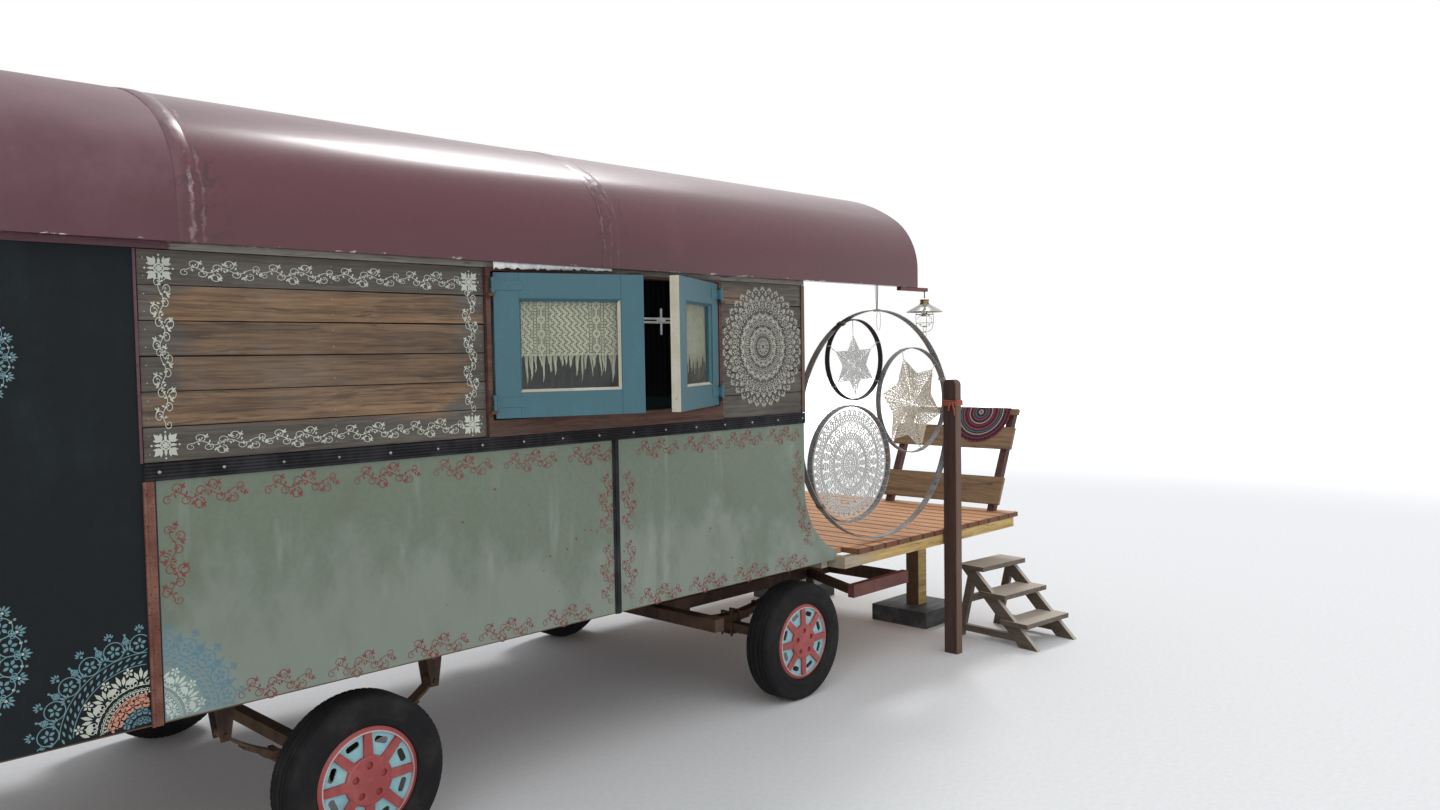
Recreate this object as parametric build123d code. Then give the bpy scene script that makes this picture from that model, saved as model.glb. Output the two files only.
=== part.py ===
"""Vardo wagon with a porch deck, steps and hanging hoops.

Millimetres. +X runs forward to the porch, +Y is the wagon's left side, +Z is up.
While it is built, x = 0 is the front wall's outer face, y = 0 the middle of the body and
z = 0 the ground. At the end every piece is shifted so that the origin is the middle of the
whole object's footprint, on the ground.
"""
from build123d import *
from math import asin, atan2, cos, hypot, pi, radians, sin, sqrt
import os

# Fits
TOUCH = 0.3
PIN_FIT = 0.08

# Body
BODY_LENGTH = 4050
BODY_WIDTH = 2100
WALL = 50
FLOOR_LOW = 670
BODY_BOTTOM = 690
FLOOR_TOP = 730
RAIL_BOTTOM = 1424
RAIL_TOP = 1477
WALL_TOP = 2120
TAIL_LENGTH = 940
SHEET_SEAM_X = -1266
SEAM_GAP = 6
SWEEP_RADIUS = 380
SWEEP_TOP = 1100
SWEEP_LIP = 50
LEDGE_REACH = 200

# Rub rail and eave board
RAIL_DEPTH = 14
RAIL_RIBS = 5
EAVE_BOARD_THICK = 40
EAVE_BOARD_HEIGHT = 70

# Barrel roof
ROOF_EAVE_Z = 2140
ROOF_OVERHANG = 54
ROOF_FRONT = 965
ROOF_REAR = 60
ROOF_THICK = 45
SHOULDER_STRAIGHT = 100
SHOULDER_RADIUS = 360
SHOULDER_TURN = 55
HAUNCH_RADIUS = 930
CROWN_SLOPE = 13.2
ROOF_SEAMS = (-2970, -1300)
ROOF_SEAM_GAP = 1.5
BOW_DEPTH = 60
BOW_THICK = 45

# Side windows
WINDOW_REAR_X = -1877
WINDOW_FRONT_X = -628
WINDOW_LOW = 1540
WINDOW_HIGH = 2108
FRAME_PROUD = 15
JAMB = 20
SILL_HEIGHT = WINDOW_LOW - RAIL_TOP - TOUCH
SASH_THICK = 38
SASH_RAIL = 98
SASH_GAP = 6
MEETING_GAP = 10
GLASS_THICK = 4
CURTAIN_THICK = 4
REAR_SASH_OPEN = 20
FRONT_SASH_OPEN = 29
PIN_RADIUS = 5
BARREL_RADIUS = 9
BARREL_PROUD = 15
BARREL_HEIGHT = 60

# Front wall and door
DOOR_WIDTH = 720
DOOR_HIGH = 2480
DOOR_THICK = 40
DOOR_GAP = 6
DOOR_GLASS_LOW = 1560
DOOR_GLASS_HIGH = 2280
DOOR_STILE = 130

# Chassis
CHASSIS_Y = 780
CHASSIS_WIDTH = 60
CHASSIS_DEPTH = 50
WHEELBASE = 2410
CROSS_WIDTH = 50

# Wheels
TYRE_RADIUS = 300
TYRE_WIDTH = 160
TYRE_SHOULDER = 26
TYRE_FACETS = 72
RIM_RADIUS = 190
RIM_THICK = 8
WHEEL_Y = 965
SPOKES = 8
SPOKE_ROOT = 38
SPOKE_TIP = 27
HUB_RADIUS = 54
CAP_RADIUS = 88
BOLT_COUNT = 5
BOLT_CIRCLE = 56
BOLT_RECESS = 13
SLOT_CIRCLE = 142
SLOT_LENGTH = 52
SLOT_WIDTH = 24

# Axles and leaf springs
AXLE_SIZE = 50
SPINDLE_RADIUS = 17
REAR_SPRING_SPAN = 800
REAR_SPRING_RISE = 150
FRONT_SPRING_SPAN = 760
FRONT_SPRING_RISE = 60
LEAF_THICK = 9
LEAF_WIDTH = 56
LEAF_COUNT = 5
LEAF_STEP = 0.17
SPRING_EYE = 17
CHEEK_THICK = 8

# Turning forecarriage
RING_RADIUS = 330
RING_WIDTH = 44
RING_THICK = 18
RING_GAP = 0.4
KING_PIN_RADIUS = 25
CARRIAGE_Y = 520
CARRIAGE_TUBE = 60
CARRIAGE_REAR = -620
CARRIAGE_FRONT = 900
CARRIAGE_TOP = 522
BAR_HALF = 1000
STEP_BAR_REAR = 420
STEP_BAR_WIDTH = 40

# Drawbar and towing eye
EYE_X = 1505
EYE_Z = 50
EYE_BORE = 20
EYE_OUTER = 45
EYE_THICK = 30
ARM_SPREAD = 300
ARM_TUBE = 50
HINGE_PIN = 12
HINGE_REACH = 38
EAR_OFFSETS = (-50, 34)

# Porch deck
DECK_TOP = 730
BOARD_THICK = 28
BOARD_WIDTH = 118
BOARD_GAP = 6
DECK_FRONT = 2110
DECK_OVERHANG = 55
DECK_REAR = 265
RIM_INSET = 40
JOIST_WIDTH = 50
JOIST_DEPTH = 60
LEG_SIZE = 95
LEG_X = 1800
LEG_Y = 530
PAD_SIZE = 420
PAD_THICK = 105

# Tall post
POST_X = 1245
POST_WIDTH = 90
POST_THICK = 58
POST_TOP = 1612
POST_ROUND = 34
POST_CHAMFER = 5

# Steps beside the deck
STEP_X = 1830
STEP_WIDTH = 420
STEP_TURN = -6
STEP_COUNT = 3
STEP_RISE = 150
STEP_GOING = 155
STEP_TREAD = 190
STEP_TREAD_THICK = 28
STEP_SIDE = 30
STEP_SIDE_WIDTH = 95
STEP_UNDER = 120

# Rail along the deck's front edge
DECK_RAIL_LENGTH = 700
DECK_RAIL_LEAN = 25
DECK_RAIL_INSET = 155
DECK_RAIL_SPAN = 800
DECK_RAIL_UPRIGHT = 45
DECK_RAIL_BOARD = 22
DECK_RAIL_BOARDS = ((665, 702), (420, 570), (35, 220))
CLOTH_RADIUS = 220
CLOTH_ALONG = 210
CLOTH_DROP = 30
CLOTH_THICK = 4

# Hanging hoops and crochet
HOOP_X = 670
HOOP_INSET = 18
HOOP_Z = 1380
HOOP_TURN = -5
HOOP_RADIUS = 630
HOOP_THICK = 5
CROCHET_THICK = 5
STAR_WAIST = 0.68
THREAD_RADIUS = 1.2
HANGER_RADIUS = 3

# Porch lamp
LAMP_X = 1062
LAMP_OUT = 35
SHADE_RADIUS = 105
SHADE_LOW = 2005
SHADE_HIGH = 2062
GLOBE_RADIUS = 42
GLOBE_LOW = 1915
GLOBE_NECK = 16

HALF = BODY_WIDTH / 2
INNER = HALF - WALL
SIDES = {"right": -1, "left": 1}
TAIL_FRONT_X = -BODY_LENGTH + TAIL_LENGTH
DECK_HALF = HALF + DECK_OVERHANG
STEP_BACK_Y = STEP_UNDER - DECK_HALF
DECK_RAIL_NEAR = DECK_RAIL_INSET - DECK_HALF
DECK_RAIL_FAR = DECK_RAIL_NEAR + DECK_RAIL_SPAN
CLOTH_Y = DECK_RAIL_NEAR + CLOTH_ALONG
HOOP_Y = HOOP_INSET - HALF
LAMP_Y = -HALF - LAMP_OUT
CHASSIS_TOP = FLOOR_LOW - TOUCH
CHASSIS_LOW = CHASSIS_TOP - CHASSIS_DEPTH
SASH_WIDTH = (WINDOW_FRONT_X - WINDOW_REAR_X - 2 * SASH_GAP - MEETING_GAP) / 2
SASH_LOW = WINDOW_LOW + SASH_GAP
SASH_HIGH = WINDOW_HIGH - SASH_GAP
RING_TOP = CHASSIS_LOW - TOUCH - RING_THICK - RING_GAP
HINGE_X = CARRIAGE_FRONT + HINGE_REACH
HINGE_Z = CARRIAGE_TOP - CARRIAGE_TUBE / 2
SPRING_BASE_Z = TYRE_RADIUS + AXLE_SIZE / 2 + TOUCH
REAR_EYE_Z = SPRING_BASE_Z + LEAF_COUNT * LEAF_THICK + REAR_SPRING_RISE
FRONT_EYE_Z = SPRING_BASE_Z + LEAF_COUNT * LEAF_THICK + FRONT_SPRING_RISE


def block(x0, x1, y0, y1, z0, z1):
    """Box between two corners, given in any order."""
    low = (min(x0, x1), min(y0, y1), min(z0, z1))
    size = (abs(x1 - x0), abs(y1 - y0), abs(z1 - z0))
    return Pos(*low) * Box(*size, align=(Align.MIN, Align.MIN, Align.MIN))


def rod(start, end, radius):
    """Round bar between two points."""
    axis = Vector(*end) - Vector(*start)
    return extrude(Plane(origin=start, z_dir=axis) * Circle(radius), axis.length)


def bar(start, end, width, height, up=(0, 0, 1)):
    """Rectangular bar between two points, its width level and its height along up."""
    axis = Vector(*end) - Vector(*start)
    across = Vector(*up).cross(axis).normalized()
    plane = Plane(origin=start, x_dir=across, z_dir=axis)
    return extrude(plane * Rectangle(width, height), axis.length)


def tube_ring(inner, outer, z0, z1):
    """Flat ring about the king pin."""
    return extrude(Plane(origin=(0, 0, z0)) * (Circle(outer) - Circle(inner)), z1 - z0)


def polygon(points):
    """Face from its corner points."""
    return make_face(Polyline(*points, close=True))


def plate_xz(face, y0, y1):
    """Plate between two y values from a face drawn with x right and z up."""
    near, far = min(y0, y1), max(y0, y1)
    plane = Plane(origin=(0, far, 0), x_dir=(1, 0, 0), z_dir=(0, -1, 0))
    return extrude(plane * face, far - near)


def plate_yz(face, x0, x1):
    """Plate from x0 forward to x1 from a face drawn with y right and z up."""
    plane = Plane(origin=(x0, 0, 0), x_dir=(0, 1, 0), z_dir=(1, 0, 0))
    return extrude(plane * face, x1 - x0)


def joined(solids):
    """One solid from overlapping pieces."""
    first, *rest = solids
    return first.fuse(*rest).clean()


def separate(solids):
    """Like pieces that share a node and don't touch."""
    return Compound(list(solids))


def flip(point):
    """Mirror a point of the roof's section to the left side."""
    return Vector(-point.X, point.Y)


def roof_line(inset):
    """Roof section from the right eave over the crown to the left eave, moved in by inset."""
    shoulder = SHOULDER_RADIUS - inset
    haunch = HAUNCH_RADIUS - inset
    turn = radians(SHOULDER_TURN)
    end = radians(90 - CROWN_SLOPE)
    start = Vector(-(HALF + ROOF_OVERHANG) + inset, ROOF_EAVE_Z)
    knee = start + Vector(0, SHOULDER_STRAIGHT)
    centre = knee + Vector(shoulder, 0)
    bend = centre + Vector(-cos(turn), sin(turn)) * shoulder
    knee_mid = centre + Vector(-cos(turn / 2), sin(turn / 2)) * shoulder
    centre += Vector(cos(turn), -sin(turn)) * (haunch - shoulder)
    spring = centre + Vector(-cos(end), sin(end)) * haunch
    middle = (turn + end) / 2
    haunch_mid = centre + Vector(-cos(middle), sin(middle)) * haunch
    crown_radius = -spring.X / sin(radians(CROWN_SLOPE))
    crown = Vector(0, spring.Y + crown_radius * (1 - cos(radians(CROWN_SLOPE))))
    right = [
        Line(start, knee),
        ThreePointArc(knee, knee_mid, bend),
        ThreePointArc(bend, haunch_mid, spring),
    ]
    left = [
        ThreePointArc(flip(spring), flip(haunch_mid), flip(bend)),
        ThreePointArc(flip(bend), flip(knee_mid), flip(knee)),
        Line(flip(knee), flip(start)),
    ]
    return right + [ThreePointArc(spring, crown, flip(spring))] + left


def roof_section(outer_inset, inner_inset):
    """Section of a shell that follows the roof."""
    outer = roof_line(outer_inset)
    inner = roof_line(inner_inset)
    feet = [Line(outer[0] @ 0, inner[0] @ 0), Line(outer[-1] @ 1, inner[-1] @ 1)]
    return make_face(outer + inner + feet)


def gable_section(inset):
    """Area under the roof, closed along a level line at the eaves."""
    arch = roof_line(inset)
    return make_face(arch + [Line(arch[-1] @ 1, arch[0] @ 0)])


def roof_sheets():
    """Three lengths of the barrel roof, split at the seams."""
    section = roof_section(0, ROOF_THICK)
    ends = (-BODY_LENGTH - ROOF_REAR, *ROOF_SEAMS, ROOF_FRONT)
    sheets = []
    for x0, x1 in zip(ends, ends[1:]):
        gap = ROOF_SEAM_GAP if x0 in ROOF_SEAMS else 0
        sheets.append(plate_yz(section, x0 + gap, x1))
    return separate(sheets)


def porch_bow():
    """Arched rib under the front end of the roof."""
    section = roof_section(ROOF_THICK + TOUCH, ROOF_THICK + BOW_DEPTH)
    return plate_yz(section, ROOF_FRONT - BOW_THICK, ROOF_FRONT)


def end_wall(x0, x1):
    """End wall between the side walls, rising into the roof."""
    reach = INNER - TOUCH
    wall = block(x0, x1, -reach, reach, BODY_BOTTOM, ROOF_EAVE_Z + 1)
    board_inner = HALF + ROOF_OVERHANG - ROOF_THICK - EAVE_BOARD_THICK - 2 * TOUCH
    high = WALL_TOP + EAVE_BOARD_HEIGHT + TOUCH
    gable = plate_yz(gable_section(ROOF_THICK + TOUCH), x0, x1)
    for side in SIDES.values():
        gable -= block(x0, x1, side * board_inner, side * (HALF + ROOF_OVERHANG), 0, high)
    return joined([wall, gable])


def front_wall():
    """Front wall with its doorway and the pins of the door's hinges."""
    half = DOOR_WIDTH / 2
    wall = end_wall(-WALL, 0) - block(-WALL, 0, -half, half, FLOOR_TOP, DOOR_HIGH)
    pieces = [wall]
    for z in door_hinge_heights():
        axis_x, axis_y = BARREL_PROUD, half
        low = z - BARREL_HEIGHT / 2 - 14
        pieces.append(rod((axis_x, axis_y, low), (axis_x, axis_y, z + BARREL_HEIGHT / 2), PIN_RADIUS))
        pieces.append(block(-1, axis_x + PIN_RADIUS, axis_y - 5, axis_y + 45, low, low + 13.5))
    return joined(pieces)


def door_hinge_heights():
    return FLOOR_TOP + 220, (FLOOR_TOP + DOOR_HIGH) / 2, DOOR_HIGH - 220


def front_door():
    """Framed plank door with a glazed upper half, hinged on the wagon's left."""
    half = DOOR_WIDTH / 2 - DOOR_GAP
    low = FLOOR_TOP + 8
    leaf = block(-DOOR_THICK, 0, -half, half, low, DOOR_HIGH - DOOR_GAP)
    leaf -= block(-DOOR_THICK, 0, -half + DOOR_STILE, half - DOOR_STILE, DOOR_GLASS_LOW, DOOR_GLASS_HIGH)
    pieces = [leaf]
    axis_x, axis_y = BARREL_PROUD, DOOR_WIDTH / 2
    for z in door_hinge_heights():
        z0, z1 = z - BARREL_HEIGHT / 2, z + BARREL_HEIGHT / 2
        pieces.append(rod((axis_x, axis_y, z0), (axis_x, axis_y, z1), BARREL_RADIUS))
        pieces.append(block(-1, 5, axis_y - 160, axis_y - DOOR_GAP, z0 + 8, z1 - 8))
        pieces.append(block(-1, BARREL_PROUD, axis_y - 16, axis_y - DOOR_GAP, z0 + 8, z1 - 8))
        pieces.append(block(BARREL_PROUD - 7, BARREL_PROUD, axis_y - 16, axis_y, z0 + 8, z1 - 8))
    grip_y = -half + 55
    for z in (1380, 1500):
        pieces.append(rod((-2, grip_y, z), (46, grip_y, z), 7))
    pieces.append(rod((46, grip_y, 1370), (46, grip_y, 1510), 9))
    door = joined(pieces)
    for z in door_hinge_heights():
        bore = PIN_RADIUS + PIN_FIT
        door -= rod((axis_x, axis_y, z - BARREL_HEIGHT), (axis_x, axis_y, z + BARREL_HEIGHT), bore)
    return door


def door_glass():
    half = DOOR_WIDTH / 2 - DOOR_GAP - DOOR_STILE - TOUCH
    middle = -DOOR_THICK / 2
    low, high = DOOR_GLASS_LOW + TOUCH, DOOR_GLASS_HIGH - TOUCH
    return block(middle - GLASS_THICK / 2, middle + GLASS_THICK / 2, -half, half, low, high)


def lower_wall(side):
    """Two sheet-metal panels with a seam, the front one swept forward at its foot."""
    x0 = TAIL_FRONT_X + TOUCH
    x1 = SHEET_SEAM_X - SEAM_GAP
    rear = polygon([(x0, BODY_BOTTOM), (x1, BODY_BOTTOM), (x1, RAIL_BOTTOM), (x0, RAIL_BOTTOM)])
    lip = BODY_BOTTOM + SWEEP_LIP
    turn = asin((SWEEP_TOP - lip) / SWEEP_RADIUS)
    foot_x = SWEEP_RADIUS * (1 - cos(turn))
    mid_x = SWEEP_RADIUS * (1 - cos(turn / 2))
    mid_z = SWEEP_TOP - SWEEP_RADIUS * sin(turn / 2)
    front = make_face(
        [
            Polyline((0, SWEEP_TOP), (0, RAIL_BOTTOM), (SHEET_SEAM_X, RAIL_BOTTOM),
                     (SHEET_SEAM_X, BODY_BOTTOM), (foot_x, BODY_BOTTOM), (foot_x, lip)),
            ThreePointArc((foot_x, lip), (mid_x, mid_z), (0, SWEEP_TOP)),
        ]
    )
    return separate(plate_xz(face, side * INNER, side * HALF) for face in (rear, front))


def upper_wall(side):
    """Planked upper wall with its window cut."""
    x0 = TAIL_FRONT_X + TOUCH
    low = RAIL_BOTTOM + TOUCH
    wall = block(x0, 0, side * INNER, side * HALF, low, WALL_TOP)
    x0, x1 = WINDOW_REAR_X - JAMB - TOUCH, WINDOW_FRONT_X + JAMB + TOUCH
    low = WINDOW_LOW - SILL_HEIGHT - TOUCH
    return wall - block(x0, x1, side * INNER, side * HALF, low, WALL_TOP)


def tail_wall(side):
    """Full-height panel at the rear of one side."""
    return block(-BODY_LENGTH, TAIL_FRONT_X, side * INNER, side * HALF, BODY_BOTTOM, WALL_TOP)


def rub_rails():
    """Ribbed rail along both sides, between the panels and the planks."""
    rib = (RAIL_TOP - RAIL_BOTTOM) / RAIL_RIBS
    rails = []
    for side in SIDES.values():
        face = side * (HALF + TOUCH)
        crest = side * (HALF + RAIL_DEPTH / 2)
        strips = [block(TAIL_FRONT_X, 0, face, crest, RAIL_BOTTOM, RAIL_TOP)]
        for index in range(RAIL_RIBS):
            z = RAIL_BOTTOM + rib * (index + 0.5)
            strips.append(rod((TAIL_FRONT_X, crest, z), (0, crest, z), rib * 0.42))
        rails.append(joined(strips))
    return separate(rails)


def eave_boards():
    """Board on top of each side wall, against the inside of the roof."""
    outer = HALF + ROOF_OVERHANG - ROOF_THICK - TOUCH
    top = WALL_TOP + EAVE_BOARD_HEIGHT
    boards = []
    for side in SIDES.values():
        inner = outer - EAVE_BOARD_THICK
        boards.append(block(-BODY_LENGTH, 0, side * inner, side * outer, WALL_TOP + TOUCH, top))
    return separate(boards)


def wagon_floor():
    """Floor between the side walls, with the strip under the end walls and the front ledge."""
    reach = INNER - TOUCH
    rear = -BODY_LENGTH + WALL + TOUCH
    ledge_top = DECK_TOP - BOARD_THICK - TOUCH
    return joined(
        [
            block(rear, -WALL - TOUCH, -reach, reach, FLOOR_LOW, FLOOR_TOP),
            block(-BODY_LENGTH, LEDGE_REACH, -reach, reach, FLOOR_LOW, BODY_BOTTOM - TOUCH),
            block(TOUCH, LEDGE_REACH, -reach, reach, FLOOR_LOW, ledge_top),
        ]
    )


def chassis():
    """Two long steel rails with cross-members and the rear spring hangers."""
    pieces = []
    rear = -BODY_LENGTH + 60
    half = CHASSIS_WIDTH / 2
    for side in SIDES.values():
        y = side * CHASSIS_Y
        pieces.append(block(rear, LEDGE_REACH - 40, y - half, y + half, CHASSIS_LOW, CHASSIS_TOP))
    crossings = (
        rear + CROSS_WIDTH,
        -WHEELBASE - REAR_SPRING_SPAN / 2 - 80,
        -WHEELBASE + REAR_SPRING_SPAN / 2 + 80,
        -RING_RADIUS + CROSS_WIDTH / 2,
        0,
    )
    for x in crossings:
        x0, x1 = x - CROSS_WIDTH / 2, x + CROSS_WIDTH / 2
        pieces.append(block(x0, x1, -CHASSIS_Y, CHASSIS_Y, CHASSIS_LOW, CHASSIS_TOP))
    for side in SIDES.values():
        x = -WHEELBASE + REAR_SPRING_SPAN / 2
        pieces += cheeks(x, side * CHASSIS_Y, REAR_EYE_Z, CHASSIS_LOW)
        pieces += cheeks(x - REAR_SPRING_SPAN, side * CHASSIS_Y, REAR_EYE_Z, CHASSIS_LOW)
    return joined(pieces)


def cheeks(x, y, eye_z, top):
    """Two hanger plates and the bolt through a spring eye."""
    parts = []
    reach = LEAF_WIDTH / 2 + TOUCH
    for cheek in (-1, 1):
        y0, y1 = y + cheek * reach, y + cheek * (reach + CHEEK_THICK)
        face = polygon([(x - 16, eye_z - 22), (x + 16, eye_z - 22), (x + 34, top + 1), (x - 34, top + 1)])
        parts.append(plate_xz(face, y0, y1))
    end = reach + CHEEK_THICK + 8
    parts.append(rod((x, y - end, eye_z), (x, y + end, eye_z), SPRING_EYE / 2 - PIN_FIT))
    return parts


def leaf_face(x, radius, index, half):
    """Section of one leaf, bowed down about x, in the x-z plane."""
    top = SPRING_BASE_Z + LEAF_COUNT * LEAF_THICK + radius
    near, far = radius + index * LEAF_THICK, radius + (index + 1) * LEAF_THICK
    swing = asin(half / near)
    ends = []
    for r in (near, far):
        ends.append([(x + r * sin(a), top - r * cos(a)) for a in (-swing, 0, swing)])
    (a0, a1, a2), (b0, b1, b2) = ends
    return make_face([ThreePointArc(a0, a1, a2), Line(a2, b2), ThreePointArc(b2, b1, b0), Line(b0, a0)])


def leaf_spring(x, y, span, rise):
    """Leaf pack with rolled eyes, its leaves shorter towards the axle, and two clips."""
    radius = (span**2 / 4 + rise**2) / (2 * rise)
    pieces = []
    for index in range(LEAF_COUNT):
        half = span / 2 * (1 - index * LEAF_STEP)
        face = leaf_face(x, radius, index, half)
        pieces.append(plate_xz(face, y - LEAF_WIDTH / 2, y + LEAF_WIDTH / 2))
    eye_z = SPRING_BASE_Z + LEAF_COUNT * LEAF_THICK + rise
    for end in (-1, 1):
        eye_x = x + end * span / 2
        eye = rod((eye_x, y - LEAF_WIDTH / 2, eye_z), (eye_x, y + LEAF_WIDTH / 2, eye_z), SPRING_EYE)
        pieces.append(eye)
        clip_x = x + end * span * 0.28
        drop = radius - sqrt(radius**2 - (clip_x - x) ** 2)
        clip_z = SPRING_BASE_Z + drop
        depth = LEAF_COUNT * LEAF_THICK
        pieces.append(
            block(clip_x - 9, clip_x + 9, y - LEAF_WIDTH / 2 - 5, y + LEAF_WIDTH / 2 + 5,
                  clip_z + LEAF_THICK, clip_z + depth + 8)
        )
    spring = joined(pieces)
    for end in (-1, 1):
        eye_x = x + end * span / 2
        spring -= rod((eye_x, y - LEAF_WIDTH, eye_z), (eye_x, y + LEAF_WIDTH, eye_z), SPRING_EYE / 2)
    return spring


def spring_pair(x, y, span, rise):
    return separate(leaf_spring(x, side * y, span, rise) for side in SIDES.values())


def axle(x, spring_y):
    """Square axle beam with round spindles, spring seats and the U-bolts round the springs."""
    inner = WHEEL_Y - TYRE_WIDTH / 2 - 12
    half = AXLE_SIZE / 2
    low, high = TYRE_RADIUS - half, TYRE_RADIUS + half
    pieces = [block(x - half, x + half, -inner, inner, low, high)]
    for side in SIDES.values():
        start, end = side * (inner - 5), side * (WHEEL_Y + 18)
        pieces.append(rod((x, start, TYRE_RADIUS), (x, end, TYRE_RADIUS), SPINDLE_RADIUS))
        y = side * spring_y
        pieces.append(block(x - half - 16, x + half + 16, y - 42, y + 42, low - 10, low))
        for cx in (x - half - 8, x + half + 8):
            for cy in (y - LEAF_WIDTH / 2 - 6, y + LEAF_WIDTH / 2 + 6):
                pieces.append(block(cx - 5, cx + 5, cy - 5, cy + 5, low - 22, high + 62))
            reach = LEAF_WIDTH / 2 + 6
            pieces.append(block(cx - 5, cx + 5, y - reach, y + reach, high + 52, high + 62))
    return joined(pieces)


def tyre(x, side):
    """Tyre of flat facets with chamfered shoulders and full side walls, open at the rim."""
    w, r, s = TYRE_WIDTH / 2, TYRE_RADIUS, TYRE_SHOULDER
    bead = (RIM_RADIUS + TOUCH) / cos(pi / TYRE_FACETS)
    outer = [(r - s * 1.7, w), (r - s * 0.4, w - s * 0.45), (r, w - s)]
    inner = [(bead + 26, w), (bead, w - 22)]
    body, bore = [many_sided(half + [(radius, -y) for radius, y in reversed(half)]) for half in (outer, inner)]
    return Pos(x, side * WHEEL_Y, TYRE_RADIUS) * (body - bore)


def many_sided(rows):
    """Solid through regular polygons about the Y axis, given by radius and place, a corner downwards."""
    outlines = [Plane(origin=(0, y, 0), x_dir=(1, 0, 0), z_dir=(0, 1, 0)) * RegularPolygon(radius, TYRE_FACETS)
                for radius, y in rows]
    return loft(outlines, ruled=True)


def wheel(x, side):
    """Rim and hub behind an eight-spoke trim with slotted panels and five bolt recesses."""
    w = TYRE_WIDTH / 2
    face = w - 14
    bore = SPINDLE_RADIUS + PIN_FIT
    rim = polygon([(RIM_RADIUS - RIM_THICK, 24 - w), (RIM_RADIUS, 24 - w), (RIM_RADIUS, face - 4),
                   (RIM_RADIUS - 18, face + 4), (RIM_RADIUS - 18, face - 16), (RIM_RADIUS - RIM_THICK, face - 16)])
    hub = polygon([(bore, -60), (HUB_RADIUS, -60), (HUB_RADIUS, face - 18), (bore, face - 18)])
    panel = polygon([(0, face - 20), (RIM_RADIUS - 12, face - 14), (RIM_RADIUS - 12, face - 9), (0, face - 9)])
    cap = polygon([(0, face - 12), (CAP_RADIUS, face - 12), (CAP_RADIUS, face + 1), (CAP_RADIUS - 6, face + 5),
                   (0, face + 8)])
    dish = revolve(panel, Axis.Y)
    slot = Rectangle(SLOT_LENGTH, SLOT_WIDTH)
    slot = fillet(slot.vertices(), SLOT_WIDTH * 0.45)
    cut = extrude(Plane(origin=(0, face - 30, SLOT_CIRCLE), x_dir=(1, 0, 0), z_dir=(0, 1, 0)) * slot, 40)
    root = Plane(origin=(0, face - 5, CAP_RADIUS - 12), z_dir=(0, 0, 1)) * Rectangle(SPOKE_ROOT, 14)
    tip = Plane(origin=(0, face - 4, RIM_RADIUS - 14), z_dir=(0, 0, 1)) * Rectangle(SPOKE_TIP, 12)
    spoke = loft([root, tip])
    pieces = [revolve(section, Axis.Y) for section in (rim, hub, cap)]
    for index in range(SPOKES):
        pieces.append(Rot(0, index * 360 / SPOKES, 0) * spoke)
        dish -= Rot(0, (index + 0.5) * 360 / SPOKES, 0) * cut
    body = joined([dish] + pieces)
    for index in range(BOLT_COUNT):
        turn = 2 * pi * index / BOLT_COUNT
        bx, bz = BOLT_CIRCLE * sin(turn), BOLT_CIRCLE * cos(turn)
        body -= rod((bx, face - 4, bz), (bx, face + 20, bz), BOLT_RECESS)
    outward = Rot(0, 0, 180) if side < 0 else Rot(0, 0, 0)
    return Pos(x, side * WHEEL_Y, TYRE_RADIUS) * outward * body


def turntable_upper():
    """Fixed half of the turntable, with its king pin."""
    top = CHASSIS_LOW - TOUCH
    low = top - RING_THICK
    return joined(
        [
            tube_ring(RING_RADIUS - RING_WIDTH, RING_RADIUS, low, top),
            block(-RING_RADIUS + 10, RING_RADIUS - 10, -50, 50, low, top),
            rod((0, 0, CARRIAGE_TOP - CARRIAGE_TUBE - 18), (0, 0, top - 2), KING_PIN_RADIUS),
        ]
    )


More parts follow.
